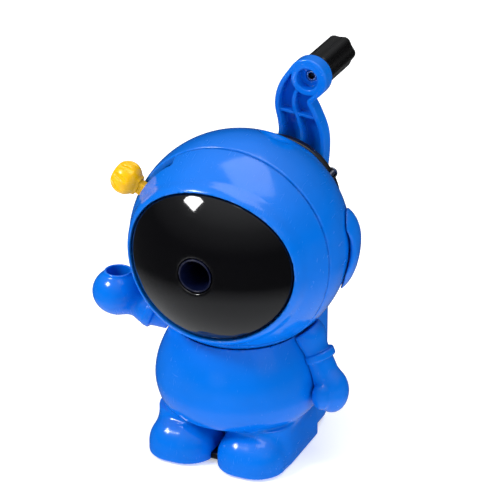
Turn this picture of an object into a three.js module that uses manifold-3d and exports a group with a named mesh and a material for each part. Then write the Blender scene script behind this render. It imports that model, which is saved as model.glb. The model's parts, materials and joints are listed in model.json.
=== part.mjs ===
// Hand-crank pencil sharpener in the shape of an astronaut. Millimetres, +Z up, facing -Y.
// The origin is on the ground under the centre of the helmet.
// The pencil and the crank share one axis along Y.
import * as THREE from "three";
import { mergeVertices } from "three/addons/utils/BufferGeometryUtils.js";
import Module from "manifold-3d";

const wasm = await Module();
wasm.setup();

// Clearances
const gap = 0.3; // between pieces that rest on or fit into each other
const seamGap = 0.5; // parting line between the face shell and the head shell
const rodPlay = 0.35; // round the guide rods and the turning shaft

// Helmet
const headRadius = 38;
const headZ = 76.5; // height of the helmet's centre
const headWall = 2.4;
const seamY = -8.8; // plane where the sliding face shell meets the head shell
const axisZ = headZ + 2.2; // height of the pencil and crank axis
const mouthWidth = 60.4; // visor opening
const mouthHeight = 52.4;
const mouthZ = axisZ - 0.8;
const lipWidth = 2.9; // raised bezel round the visor
const lipRise = 0.6;
const visorWall = 2;
const visorFront = 37.4; // how far the visor's dome reaches in front of the helmet's centre
const visorReach = 38.2; // the dome's half size across
const chinZ = mouthZ - mouthHeight / 2 - lipWidth - 0.4; // below this the helmet's front does not slide

// Pencil path
const pencilRadius = 3.75;
const entryRadius = 6.2;

// Clamp behind the visor
const clampY = -15.6; // front face of the clamp plate
const clampPlate = 2;
const clampReach = axisZ - chinZ - 0.1; // the clamp plate's radius, clear of the chin
const camPlate = 2.2;
const camHub = 12; // radius of the hub that the cam ring turns on
const camRadius = 20.4;
const jawTravel = 2.4;
const camTurn = 22; // degrees the lever turns up to open the jaws
const jawPinRadius = 1;
const jawPinAt = 15; // pin's distance from the axis with the jaws closed
const leverAngle = 153.5; // degrees from +X towards +Z
const leverReach = 41.6; // distance of the knob from the axis
const knobRadius = 5.9;

// Feed guides
const rodX = 24.2;
const rodRadius = 2;
const rodEndY = 18.5;
const springWire = 0.42;
const springRadius = 3.8;
const springTurns = 7;

// Cutter
const tilt = 11; // degrees between the cutter and the pencil
const tipY = 21; // where the pencil's point ends
const cutterRadius = 5.4;
const cutterTeeth = 10;
const cutterFrontY = 2.2;
const axleRadius = 1.2;
const ringTeeth = 30;
const pinionTeeth = 9;
const gearY = -3.7; // middle of the gears' width
const gearWidth = 3.6;
const backlash = 0.42;
const toothTip = 0.72; // height above the pitch line, in modules
const toothRoot = 1.05; // depth below it

// Crank
const shaftRadius = 3.9;
const coverRadius = 22.6;
const coverY = 33.6; // front face of the rear cover's flange
const coverPlate = 3.2;
const bushSeat = shaftRadius + 2.9; // hole in the cover for the bush
const throwX = 8.2; // grip pin's place beside the axis at rest
const throwZ = 43.5; // grip pin's place above the axis at rest
const armY = 38.2; // front edge of the crank arm's walls
const armDepth = 6;
const armFloor = 1.8;
const armWall = 1.7;
const gripLength = 24;
const gripRadius = 6.2;
const gripPinRadius = 1.9;

// Body
const splitY = 10.15; // seam between the front and the rear body shells
const bellyRadius = 29.7;
const bodyWall = 2.2;
const rearHalfWidth = 24;
const rearEndY = 26;
const rearHeight = 49;
const lift = 0.8; // the shells stand this far above the ground
const legHeight = 15.5;
const footInner = 0.9; // feet, measured from the middle plane
const footOuter = 25.3;
const footFrontY = -27;
const footHeight = 13.6;
const bayHalfWidth = 19;
const bayBottom = 6.8;
const bayTop = 27.4;
const bayFrontY = -13;
const drawerWall = 1.8;
const plateHalfWidth = 22.4;
const plateFrontY = -21.5;
const plateRearY = 22.5;
const plateTop = 3.2;
const padInset = 3.6; // the rubber pad's edge inside the base plate's
const padTop = 1.4;

// Arms
const fistRadius = 9.3;
const socketRadius = 4.1;
const socketDepth = 11;

const blue = "#1a6fe6";
const black = "#0c0d10";
const yellow = "#f2c000";
const steel = "#a9adb3";

const head = new THREE.Vector3(0, 0, headZ);
const radians = THREE.MathUtils.degToRad;
const rodPlaces = [[-rodX, axisZ], [rodX, axisZ]];
const space = 60; // half size of a block that stands for all the space on one side of a plane

// ---- geometry helpers ----

function toSolid(geometry) {
  const bare = geometry.clone();
  bare.deleteAttribute("normal");
  bare.deleteAttribute("uv");
  const welded = mergeVertices(bare, 1e-4);
  const at = welded.attributes.position;
  const corners = [];
  let volume = 0;
  const [a, b, c] = [new THREE.Vector3(), new THREE.Vector3(), new THREE.Vector3()];
  for (let i = 0; i < welded.index.count; i += 3) {
    const [p, q, r] = [0, 1, 2].map((k) => welded.index.getX(i + k));
    if (p === q || q === r || r === p) continue;
    corners.push(p, q, r);
    a.fromBufferAttribute(at, p);
    b.fromBufferAttribute(at, q);
    c.fromBufferAttribute(at, r);
    volume += a.dot(b.cross(c));
  }
  const triVerts = Uint32Array.from(volume < 0 ? corners.reverse() : corners);
  const vertProperties = Float32Array.from(at.array);
  return new wasm.Manifold(new wasm.Mesh({ numProp: 3, vertProperties, triVerts }));
}

function toGeometry(solid) {
  const mesh = solid.simplify(0.05).getMesh();
  const geometry = new THREE.BufferGeometry();
  geometry.setAttribute("position", new THREE.BufferAttribute(Float32Array.from(mesh.vertProperties), 3));
  geometry.setIndex(new THREE.BufferAttribute(Uint32Array.from(mesh.triVerts), 1));
  const facets = geometry.toNonIndexed();
  facets.computeVertexNormals();
  return facets;
}

const join = (solids) => solids.reduce((all, one) => all.add(one));

function block(x0, x1, y0, y1, z0, z1) {
  const geometry = new THREE.BoxGeometry(x1 - x0, y1 - y0, z1 - z0);
  return toSolid(geometry.translate((x0 + x1) / 2, (y0 + y1) / 2, (z0 + z1) / 2));
}

function alongX(radius, x0, x1, y, z, segments = 24) {
  const geometry = new THREE.CylinderGeometry(radius, radius, x1 - x0, segments);
  return toSolid(geometry.rotateZ(Math.PI / 2).translate((x0 + x1) / 2, y, z));
}

function alongY(radius, y0, y1, x = 0, z = axisZ, segments = 24) {
  const geometry = new THREE.CylinderGeometry(radius, radius, y1 - y0, segments);
  return toSolid(geometry.translate(x, (y0 + y1) / 2, z));
}

function alongZ(radius, z0, z1, x, y, segments = 24) {
  const geometry = new THREE.CylinderGeometry(radius, radius, z1 - z0, segments);
  return toSolid(geometry.rotateX(Math.PI / 2).translate(x, y, (z0 + z1) / 2));
}

// One hole or post along Y at each of a list of places in x and z.
const eachAlongY = (places, radius, y0, y1, segments = 10) =>
  join(places.map(([x, z]) => alongY(radius, y0, y1, x, z, segments)));

// One hole along Z at each of a list of places in x and y.
const eachAlongZ = (places, radius, z0, z1, segments = 10) =>
  join(places.map(([x, y]) => alongZ(radius, z0, z1, x, y, segments)));

const ball = (rx, ry, rz, centre, around = 32, down = 20) =>
  toSolid(new THREE.SphereGeometry(1, around, down).scale(rx, ry, rz).translate(...centre));

// A solid turned about the line through (x, z) along Y. The profile is pairs of radius and y.
const turnedY = (profile, x = 0, z = axisZ, segments = 32) =>
  toSolid(turnedGeometry(profile, segments).translate(x, 0, z));

function turnedGeometry(profile, segments) {
  return new THREE.LatheGeometry(profile.map(([r, y]) => new THREE.Vector2(r, y)), segments);
}

// A solid turned about the Z axis. The profile is pairs of radius and z.
const turnedZ = (profile, segments = 32) => toSolid(turnedGeometry(profile, segments).rotateX(Math.PI / 2));

// A flat outline in x and z, given depth along Y.
function plateY(shape, y0, y1, curveSegments = 12) {
  const options = { depth: y1 - y0, bevelEnabled: false, curveSegments };
  return toSolid(new THREE.ExtrudeGeometry(shape, options).rotateX(Math.PI / 2).translate(0, y1, 0));
}

// A flat outline in x and y, given height along Z.
function plateZ(shape, z0, z1, curveSegments = 8) {
  const options = { depth: z1 - z0, bevelEnabled: false, curveSegments };
  return toSolid(new THREE.ExtrudeGeometry(shape, options).translate(0, 0, z0));
}

function roundedRectangle(x0, x1, y0, y1, corner) {
  const shape = new THREE.Shape();
  shape.moveTo(x0 + corner, y0);
  shape.lineTo(x1 - corner, y0);
  shape.absarc(x1 - corner, y0 + corner, corner, -Math.PI / 2, 0);
  shape.lineTo(x1, y1 - corner);
  shape.absarc(x1 - corner, y1 - corner, corner, 0, Math.PI / 2);
  shape.lineTo(x0 + corner, y1);
  shape.absarc(x0 + corner, y1 - corner, corner, Math.PI / 2, Math.PI);
  shape.lineTo(x0, y0 + corner);
  shape.absarc(x0 + corner, y0 + corner, corner, Math.PI, Math.PI * 1.5);
  return shape;
}

// The visor opening's outline, grown by a margin, as a prism along Y.
function mouth(margin, y0 = -60, y1 = 0) {
  const shape = new THREE.Shape();
  shape.absellipse(0, mouthZ, mouthWidth / 2 + margin, mouthHeight / 2 + margin, 0, 2 * Math.PI);
  return plateY(shape, y0, y1, 14);
}

// Points on a circle round the helmet's centre, as pairs of radius and y, from one y to another.
function arc(radius, y0, y1, steps) {
  const [from, to] = [Math.acos(y0 / radius), Math.acos(y1 / radius)];
  return Array.from({ length: steps + 1 }, (_, i) => {
    const angle = from + ((to - from) * i) / steps;
    const away = radius * Math.sin(angle);
    return [Math.abs(away) < 1e-6 ? 0 : away, radius * Math.cos(angle)];
  });
}

const headBall = (radius) => turnedY(arc(radius, -radius, radius, 16), 0, headZ, 32);

// A place on the circle round the pencil axis, at an angle above +X.
const polar = (radius, degrees) =>
  [radius * Math.cos(radians(degrees)), axisZ + radius * Math.sin(radians(degrees))];

// A cross-head screw whose head faces -Y, its seat at y = 0 and its shank along +Y.
function screwGeometry(headSize, length) {
  const thickness = headSize * 0.55;
  const profile = [[0, -thickness], [headSize * 0.8, -thickness], [headSize, 0]];
  profile.push([headSize * 0.45, 0], [headSize * 0.45, length - 0.6], [0, length]);
  const slot = headSize * 0.16;
  return turnedY(profile, 0, 0, 10)
    .subtract(block(-headSize * 0.6, headSize * 0.6, -thickness - 1, -thickness * 0.45, -slot, slot))
    .subtract(block(-slot, slot, -thickness - 1, -thickness * 0.45, -headSize * 0.6, headSize * 0.6));
}

// ---- helmet ----

// The dome that the visor is part of, moved inwards.
const visorDome = (inset) =>
  ball(visorReach - inset, visorFront - inset, visorReach - inset, head.toArray(), 28, 18);

function faceShell() {
  const rim = seamY - seamGap / 2;
  const inner = headRadius - headWall;
  const skin = turnedY([...arc(headRadius, -headRadius, rim, 9), ...arc(inner, rim, -inner, 6)], 0, headZ);
  const lip = headBall(headRadius + lipRise)
    .subtract(headBall(headRadius - headWall / 2))
    .intersect(mouth(lipWidth, -60, -14));
  const ledge = visorDome(visorWall + gap)
    .subtract(visorDome(visorWall * 2 + gap))
    .intersect(mouth(2.2, -60, clampY - 1.2))
    .intersect(headBall(headRadius - 0.4))
    .subtract(mouth(-2.4));
  const posts = eachAlongY(clampPostPlaces(), 3.2, -30, clampY - gap, 8)
    .intersect(visorDome(visorWall + gap))
    .intersect(headBall(headRadius - 0.6));
  return skin
    .add(lip)
    .subtract(mouth(0))
    .add(ledge)
    .add(posts)
    .subtract(leverSlot())
    .subtract(eachAlongY(clampPostPlaces(), 1.45, clampY - 3, clampY))
    .intersect(block(-space, space, -space, 0, chinZ + seamGap / 2, 2 * headZ));
}

const clampPostPlaces = () => [35, 205, 335].map((angle) => polar(27.6, angle));

// The slot in the face shell's edge that the release lever swings in.
function leverSlot() {
  const shape = new THREE.Shape();
  const [from, to] = [radians(leverAngle - camTurn - 7), radians(leverAngle + 6)];
  shape.absarc(0, axisZ, 26, from, to);
  shape.absarc(0, axisZ, 46, to, from, true);
  return plateY(shape, clampY + clampPlate, seamY + 2);
}

function visor() {
  return visorDome(0)
    .subtract(visorDome(visorWall))
    .intersect(mouth(-gap, -60, -12))
    .subtract(alongY(entryRadius, -60, 0, 0, axisZ, 28));
}

function pencilGuide() {
  const back = clampY - 3.6;
  const flange = 8.4;
  const reach = (flange + axisZ - headZ) / (visorReach - visorWall);
  const seat = gap - (visorFront - visorWall) * Math.sqrt(1 - reach * reach);
  const front = 0.8 - visorFront;
  const outer = entryRadius - gap;
  const outside = [[outer, front], [outer, seat], [flange, seat], [flange, seat + 1.2], [6.6, seat + 1.2]];
  const inside = [[6.2, back], [4.5, back], [4.5, seat + 5], [outer - 0.9, front], [outer, front]];
  return turnedY([...outside, ...inside], 0, axisZ, 24);
}

function headShell() {
  const rim = seamY + seamGap / 2;
  const inner = headRadius - headWall;
  const skin = turnedY([...arc(inner, inner, rim, 6), ...arc(headRadius, rim, headRadius, 9)], 0, headZ);
  const chin = headBall(headRadius)
    .subtract(headBall(inner))
    .intersect(block(-space, space, -space, rim + 1, 0, chinZ - seamGap / 2));
  const ring = [[29.5, -5.6], [headRadius - 3, -5.6], [headRadius - 1.2, -2.6], [29.5, -2.6], [29.5, -5.6]];
  const ledge = turnedY(ring, 0, headZ).intersect(headBall(headRadius - 1));
  const boss = alongY(coverRadius, 27, coverY - gap, 0, axisZ, 36);
  const scoopAt = [10.5, 14, headZ + 36.6];
  const pad = ball(11, 9, 6, scoopAt, 14, 8).intersect(headBall(headRadius - 1));
  const chute = block(-15, 15, -4, 20, 30, 52);
  return skin
    .add(chin)
    .add(ledge)
    .add(boss)
    .add(pad)
    .subtract(ball(9, 7, 3.6, scoopAt, 18, 12))
    .subtract(block(-30, 30, coverY - gap, 60, 40, 120))
    .subtract(alongY(coverRadius - 2.4, 20, 60, 0, axisZ, 36))
    .subtract(chute)
    .subtract(eachAlongY(bulkheadScrewPlaces(), 1.25, -9, -2))
    .subtract(eachAlongY(coverScrewPlaces(), 1.25, 26, 60))
    .subtract(join([-1, 1].map((side) => earPeg(side, 2 + gap))));
}

const bulkheadScrewPlaces = () => [90, 218, 322].map((angle) => {
  const [x, z] = polar(31.6, angle);
  return [x, z - axisZ + headZ];
});

const coverScrewPlaces = () => [0, 120, 240].map((angle) => polar(coverRadius - 1.2, angle + 30));

const earPeg = (side, radius) => {
  const middle = side * (headRadius - 1.8);
  return alongX(radius, middle - 3, middle + 3, 11, headZ, 12);
};

// The rounded pod on the side of the helmet, tapered downwards and stepped round a disc in front of it.
function earPod(side) {
  const at = [side * (headRadius - 7.4), 9, headZ + 1.5];
  const above = block(-space, space, -space, space, at[2], 2 * headZ);
  const below = block(-space, space, -space, space, 0, at[2]);
  const upper = ball(9.4, 11.5, 13, at, 20, 14).intersect(above);
  const lower = ball(9.4, 11.5, 19, at, 20, 14).intersect(below);
  return upper
    .add(lower)
    .subtract(headBall(headRadius + 1.5 * gap))
    .subtract(alongX(12.2, at[0] - 15, at[0] + 15, -6, headZ + 0.5, 28))
    .add(earPeg(side, 2));
}

function rearCover() {
  const front = coverY;
  const back = coverY + coverPlate;
  const spigot = coverRadius - 2.4 - gap;
  const hub = [[bushSeat, front - 4.5], [8.8, front - 4.5], [8.8, front - 0.2], [spigot - 2, front - 0.2]];
  const rim = [[spigot - 2, front - 4], [spigot, front - 4], [spigot, front], [coverRadius, front]];
  const edge = [[coverRadius, back - 1], [coverRadius - 1, back], [bushSeat, back], [bushSeat, front - 4.5]];
  return turnedY([...hub, ...rim, ...edge], 0, axisZ, 28)
    .subtract(eachAlongY(coverScrewPlaces(), 1.5, 20, 60));
}

function shaftBush() {
  const [front, back] = [coverY - 4.5, coverY + coverPlate];
  const [inner, outer] = [shaftRadius + rodPlay, bushSeat - gap];
  const sleeve = [[inner, front], [outer, front], [outer, back + gap]];
  const flange = [[outer + 1.4, back + gap], [outer + 1.4, back + 0.9], [inner, back + 0.9], [inner, front]];
  return turnedY([...sleeve, ...flange], 0, axisZ, 24);
}

// ---- chassis and gears ----

const [tiltSin, tiltCos] = [Math.sin(radians(tilt)), Math.cos(radians(tilt))];
const pinionOffset = cutterRadius / tiltCos + ((tipY - gearY) * tiltSin) / tiltCos;
const apexY = gearY + (pinionOffset * tiltCos) / tiltSin; // where the cutter's axis meets the crank's
const apexReach = (apexY - gearY) / tiltCos;
const pinionPitch = (pinionOffset * pinionTeeth) / (ringTeeth - pinionTeeth);
const meshRadius = apexReach * tiltSin + pinionPitch * tiltCos;
const meshReach = apexReach * tiltCos - pinionPitch * tiltSin;
const ringPitch = (meshRadius * (apexY - gearY)) / meshReach;
const ringOuter = ringPitch + 3;

// A gear outline with straight-sided teeth, the first one centred on the phase.
// A ring gear's tips lie inside its root.
function gearOutline(teeth, pitch, tip, root, phase) {
  const step = (2 * Math.PI) / teeth;
  const half = step / 4 - backlash / (2 * pitch);
  const lean = Math.tan(radians(20));
  const halfAt = (radius) => half + ((pitch - radius) * Math.sign(tip - root) * lean) / pitch;
  const points = [];
  for (let i = 0; i < teeth; i += 1) {
    for (const [radius, side] of [[root, -1], [tip, -1], [tip, 1], [root, 1]]) {
      const angle = phase + i * step + side * halfAt(radius);
      points.push(new THREE.Vector2(radius * Math.cos(angle), radius * Math.sin(angle)));
    }
  }
  return points;
}

// A gear's outline drawn out along +Y about y = 0 and tapered towards a point at the given reach.
function taperedGear(shape, width, reach) {
  const options = { depth: width, bevelEnabled: false, curveSegments: 20 };
  const geometry = new THREE.ExtrudeGeometry(shape, options);
  geometry.rotateX(Math.PI / 2).translate(0, width / 2, 0);
  const at = geometry.attributes.position;
  for (let i = 0; i < at.count; i += 1) {
    const scale = (reach - at.getY(i)) / reach;
    at.setXYZ(i, at.getX(i) * scale, at.getY(i), at.getZ(i) * scale);
  }
  return geometry;
}

function ringGear() {
  const module = (2 * ringPitch) / ringTeeth;
  const shape = new THREE.Shape();
  shape.absarc(0, 0, ringOuter + 1, 0, 2 * Math.PI);
  const phase = -Math.PI / 2 + Math.PI / ringTeeth;
  const [tip, root] = [ringPitch - toothTip * module, ringPitch + toothRoot * module];
  const teeth = gearOutline(ringTeeth, ringPitch, tip, root, phase);
  shape.holes.push(new THREE.Path(teeth));
  const gear = taperedGear(shape, gearWidth, apexY - gearY).translate(0, gearY, axisZ);
  return toSolid(gear).intersect(alongY(ringOuter, -30, 30, 0, axisZ, 30));
}

function headBulkhead() {
  const [front, back] = [seamY + seamGap / 2 + 0.4, -5.9];
  const plate = alongY(headRadius - 4.1, front, back, 0, headZ, 32);
  const collar = alongY(ringOuter + gap + 1.4, front, gearY + gearWidth / 2 - 0.4, 0, axisZ, 30)
    .subtract(alongY(ringOuter + gap, back, 10, 0, axisZ, 30));
  const tubes = eachAlongY(rodPlaces, springRadius - springWire - gap, front, -1, 20);
  return plate
    .add(collar)
    .add(tubes)
    .subtract(alongY(ringPitch + 1.2, -20, 10, 0, axisZ, 24))
    .subtract(eachAlongY(rodPlaces, rodRadius + rodPlay, -20, 10, 16))
    .subtract(eachAlongY(bulkheadScrewPlaces(), 1.5, -20, 10))
    .subtract(block(-9, 9, -20, 0, 40, headZ - 24));
}

// ---- clamp ----

const jawAngles = [90, 210, 330];

function clampPlateSolid() {
  const back = clampY + clampPlate;
  const plate = alongY(clampReach, clampY, back, 0, axisZ, 32)
    .intersect(headBall(headRadius - headWall - gap));
  const slots = jawAngles.map((angle) => {
    const half = jawPinRadius + gap;
    const shape = roundedRectangle(-half, half, jawPinAt - half, jawPinAt + jawTravel + half, jawPinRadius);
    return turned(plateY(shape, clampY - 1, back + 1, 6), angle - 90);
  });
  const lipAt = back + camPlate + 2 * gap;
  const hub = alongY(camHub, back, lipAt, 0, axisZ, 28)
    .add(alongY(camHub + 1.4, lipAt, back + camPlate + 1.4, 0, axisZ, 32));
  return plate
    .add(hub)
    .subtract(join(slots))
    .subtract(alongY(5.4, -40, 0, 0, axisZ, 28))
    .subtract(eachAlongY(clampPostPlaces(), 1.5, -40, 0))
    .subtract(eachAlongY(rodPlaces, 1.6, -40, 0, 12));
}

// Turns a solid drawn about the origin of the x-z plane and carries it to the pencil axis.
function turned(solid, degrees) {
  return solid.rotate([0, -degrees, 0]).translate([0, 0, axisZ]);
}

function clampJaw(angle) {
  const nearY = clampY - gap;
  const body = block(-2.6, 2.6, nearY - 2.8, nearY, pencilRadius + 1.4, jawPinAt + 2);
  const tip = block(-1, 1, nearY - 2.8, nearY, pencilRadius + gap, pencilRadius + 2);
  const pin = alongY(jawPinRadius, nearY - 0.5, clampY + clampPlate + gap + camPlate, 0, jawPinAt, 12);
  return turned(join([body, tip, pin]), angle - 90);
}

// The slot that drives one jaw's pin outwards as the ring turns.
function camSlot(angle) {
  const wide = (jawPinRadius + gap) * 1.14;
  const steps = 8;
  const run = Array.from({ length: steps + 1 }, (_, i) => {
    const share = -0.27 + (1.54 * i) / steps;
    return [jawPinAt + jawTravel * share, radians(angle + camTurn * share)];
  });
  const point = ([radius, at], side) => {
    const away = radius + side * wide;
    return new THREE.Vector2(away * Math.cos(at), away * Math.sin(at));
  };
  return new THREE.Path([...run.map((p) => point(p, 1)), ...run.toReversed().map((p) => point(p, -1))]);
}

function camRing() {
  const shape = new THREE.Shape();
  shape.absarc(0, 0, camRadius, 0, 2 * Math.PI);
  const hole = new THREE.Path();
  hole.absarc(0, 0, camHub + rodPlay, 0, 2 * Math.PI);
  shape.holes.push(hole, ...jawAngles.map(camSlot));
  const front = clampY + clampPlate + gap;
  return plateY(shape, front, front + camPlate, 14).translate([0, 0, axisZ]);
}

// The yellow lever that stands out of the helmet like an aerial.
// It is drawn along +X and turned into place.
function releaseLever() {
  const midY = (clampY + clampPlate + seamY) / 2;
  const neck = leverReach - 3.1;
  const arm = block(camRadius + gap, neck, midY - 1.7, midY + 1.7, -2.2, 2.2);
  const collar = block(neck - 1.9, neck + 0.1, midY - 2.1, midY + 2.1, -3.1, 3.1);
  const knob = turnedGeometry(knobProfile(), 16).rotateZ(-Math.PI / 2);
  const bulb = toSolid(knob.translate(leverReach, midY, 0));
  const flutes = Array.from({ length: 8 }, (_, i) => {
    const at = radians(45 * i + 22.5);
    const away = knobRadius + 0.9;
    const place = [leverReach + 1, midY + away * Math.cos(at), away * Math.sin(at)];
    return ball(4.2, 1.9, 1.9, place, 6, 5);
  });
  return turned(join([arm, collar, bulb]).subtract(join(flutes)), leverAngle);
}

// Radius and distance along the lever from the middle of the knob.
function knobProfile() {
  const neck = 2.3;
  const round = [-60, -40, -20, 0, 20, 40].map((degrees) => {
    const at = radians(degrees);
    return [knobRadius * Math.cos(at), 0.9 * knobRadius * Math.sin(at)];
  });
  return [[0, -6], [neck + 0.2, -6], [neck, -5.4], ...round, [3.6, 4.6], [1.6, 4.6], [1.4, 3.8], [0, 3.8]];
}

function guideRod(side) {
  const [tip, shoulder] = [clampY + 0.2, clampY + clampPlate + gap];
  const spigot = [[0, tip], [1.3, tip], [1.3, shoulder]];
  const rod = [[rodRadius, shoulder], [rodRadius, rodEndY], [0, rodEndY]];
  return turnedY([...spigot, ...rod], side * rodX, axisZ, 16);
}

function rodStop(side) {
  const [front, back] = [rodEndY + gap, rodEndY + 2.2];
  const profile = [[0, front], [3.6, front], [3.6, back - 0.7], [3, back], [0, back]];
  return turnedY(profile, side * rodX, axisZ, 16);
}

// A compression spring round a guide rod, between the bulkhead and the rod's end stop.
function feedSpring(side) {
  class Coil extends THREE.Curve {
    getPoint(t, target = new THREE.Vector3()) {
      const angle = 2 * Math.PI * springTurns * t;
      const [from, to] = [-5.9 + gap + springWire, rodEndY - springWire - gap];
      const y = from + (to - from) * t;
      return target.set(springRadius * Math.cos(angle), y, springRadius * Math.sin(angle));
    }
  }
  const corners = [[springWire, 0], [0, springWire], [-springWire, 0], [0, -springWire]];
  const wire = new THREE.Shape(corners.map(([x, y]) => new THREE.Vector2(x, y)));
  const options = { steps: springTurns * 9, extrudePath: new Coil(), bevelEnabled: false };
  return toSolid(new THREE.ExtrudeGeometry(wire, options).translate(side * rodX, 0, axisZ));
}

// ---- cutter and crank ----

// Carries a solid drawn along Y onto the cutter's axis, y = 0 landing at the gears' middle.
function onCutterAxis(solid) {
  return solid.rotate([tilt, 0, 0]).translate([0, gearY, axisZ - pinionOffset]);
}

const alongCutter = (y) => (y - gearY) / tiltCos;

function helicalCutter() {
  const points = [];
  for (let i = 0; i < cutterTeeth; i += 1) {
    const flute = [[0, cutterRadius], [0.18, cutterRadius - 0.15], [0.5, cutterRadius - 1.1]];
    for (const [share, radius] of flute) {
      const angle = ((i + share) * 2 * Math.PI) / cutterTeeth;
      points.push(new THREE.Vector2(radius * Math.cos(angle), radius * Math.sin(angle)));
    }
  }
  const [front, back] = [alongCutter(cutterFrontY + 1.3), alongCutter(tipY + 1.4)];
  const options = { depth: back - front, steps: 8, bevelEnabled: false };
  const geometry = new THREE.ExtrudeGeometry(new THREE.Shape(points), options);
  const at = geometry.attributes.position;
  const spot = new THREE.Vector3();
  for (let i = 0; i < at.count; i += 1) {
    spot.fromBufferAttribute(at, i);
    spot.applyAxisAngle(new THREE.Vector3(0, 0, 1), (spot.z / (back - front)) * radians(80));
    at.setXYZ(i, spot.x, spot.y, spot.z);
  }
  const body = toSolid(geometry.rotateX(Math.PI / 2).translate(0, back, 0));
  return onCutterAxis(body.subtract(alongY(axleRadius + gap, -50, 50, 0, 0, 12)));
}

function cutterPinion() {
  const module = (2 * pinionPitch) / pinionTeeth;
  const [tip, root] = [pinionPitch + toothTip * module, pinionPitch - toothRoot * module];
  const outline = gearOutline(pinionTeeth, pinionPitch, tip, root, -Math.PI / 2);
  const gear = toSolid(taperedGear(new THREE.Shape(outline), gearWidth - 0.6, apexReach));
  const neck = alongY(2.5, 0, alongCutter(cutterFrontY + 1.3) - gap, 0, 0, 18);
  return onCutterAxis(gear.add(neck).subtract(alongY(axleRadius + gap, -50, 50, 0, 0, 12)));
}

const cutterAxle = () =>
  onCutterAxis(alongY(axleRadius, -gearWidth / 2 - 0.6, alongCutter(tipY + 5.2), 0, 0, 12));

function cutterCarrier() {
  const front = alongY(13.2, gearY + gearWidth / 2 + 0.8, cutterFrontY, 0, axisZ, 28);
  const back = alongY(13.2, tipY + 2.8, tipY + 5.8, 0, axisZ, 28);
  const sides = join([-10.7, 10.7].map((x) => block(x - 1.9, x + 1.9, 0, tipY + 4, axisZ - 4.5, axisZ + 4.5)));
  const shaft = alongY(shaftRadius, tipY + 4, armY + 2, 0, axisZ, 20);
  const tenon = block(-2.6, 2.6, armY + 1, armY + armDepth - gap, axisZ - 2.6, axisZ + 2.6);
  return front
    .add(back)
    .add(sides)
    .add(shaft)
    .add(tenon)
    .subtract(alongY(pencilRadius + 0.6, -20, cutterFrontY + 4, 0, axisZ, 24))
    .subtract(onCutterAxis(alongY(2.5 + rodPlay, -10, alongCutter(cutterFrontY + 4), 0, 0, 18)))
    .subtract(onCutterAxis(alongY(axleRadius + 0.1, 10, alongCutter(tipY + 5.5), 0, 0, 12)))
    .subtract(alongY(1.44 + gap, armY - 1, armY + armDepth + 1, 0, axisZ, 12));
}

// The crank arm's centre line and half width, from the hub to the boss that holds the grip.
const armRun = [
  [0, 0, 12.4], [3, 7, 11], [5.4, 15, 9.6], [6.2, 22, 8.7], [4.8, 28, 7.8],
  [3.1, 33, 7.1], [3.9, 38, 6.7], [throwX, throwZ, 7.3],
];

// The crank arm's outline about the crank axis, inset by a margin.
function armOutline(inset) {
  const line = new THREE.CatmullRomCurve3(armRun.map(([x, z, w]) => new THREE.Vector3(x, z, w)));
  const left = [];
  const right = [];
  const steps = 16;
  for (let i = 0; i <= steps; i += 1) {
    const spot = line.getPoint(i / steps);
    const ahead = line.getTangent(i / steps);
    const size = Math.hypot(ahead.x, ahead.y);
    const reach = spot.z - inset;
    left.push(new THREE.Vector2(spot.x - (ahead.y / size) * reach, spot.y + (ahead.x / size) * reach));
    right.push(new THREE.Vector2(spot.x + (ahead.y / size) * reach, spot.y - (ahead.x / size) * reach));
  }
  return new THREE.Shape([...right, ...left.reverse()]);
}

function crankArm() {
  const [front, back] = [armY, armY + armDepth];
  const floor = back - armFloor;
  const boss = (radius, y0, y1) => alongY(radius, y0, y1, throwX, throwZ, 24);
  const hub = (radius, y0, y1) => alongY(radius, y0, y1, 0, 0, 28);
  const body = join([plateY(armOutline(0), front, back), boss(7.3, front, back), hub(12.4, front, back)]);
  const hollow = join([plateY(armOutline(armWall), front - 1, floor), hub(12.4 - armWall, front - 1, floor)])
    .subtract(boss(6, front - 2, back))
    .subtract(hub(6.6, front - 2, back));
  const spine = new THREE.CatmullRomCurve3(armRun.map(([x, z]) => new THREE.Vector3(x, z, 0)));
  const edge = (side) => Array.from({ length: 13 }, (_, i) => {
    const ahead = spine.getTangent(i / 12);
    const spot = spine.getPoint(i / 12);
    return new THREE.Vector2(spot.x + side * 0.65 * ahead.y, spot.y - side * 0.65 * ahead.x);
  });
  const rib = plateY(new THREE.Shape([...edge(1), ...edge(-1).reverse()]), front + 0.4, back);
  const cross = block(-9, 11, front + 0.8, back, 29.4, 30.6).rotate([0, 6, 0]).translate([-1, 0, 0.4]);
  const arm = body
    .subtract(hollow)
    .add(join([rib, cross]).intersect(plateY(armOutline(0.5), front, back)))
    .subtract(boss(3.9, front - 1, front + 4))
    .subtract(boss(gripPinRadius + 0.1, front, back + 1))
    .subtract(hub(shaftRadius + gap, front - 1, front + 2 + gap))
    .subtract(block(-2.9, 2.9, front, back + 1, -2.9, 2.9));
  return arm.translate([0, 0, axisZ]);
}

function gripOutline() {
  const points = Array.from({ length: 24 }, (_, i) => {
    const angle = (i * Math.PI) / 12;
    const radius = gripRadius - 1.1 - 0.34 * (1 - Math.cos(6 * angle));
    return new THREE.Vector2(radius * Math.cos(angle), radius * Math.sin(angle));
  });
  return new THREE.Shape(points);
}

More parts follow.
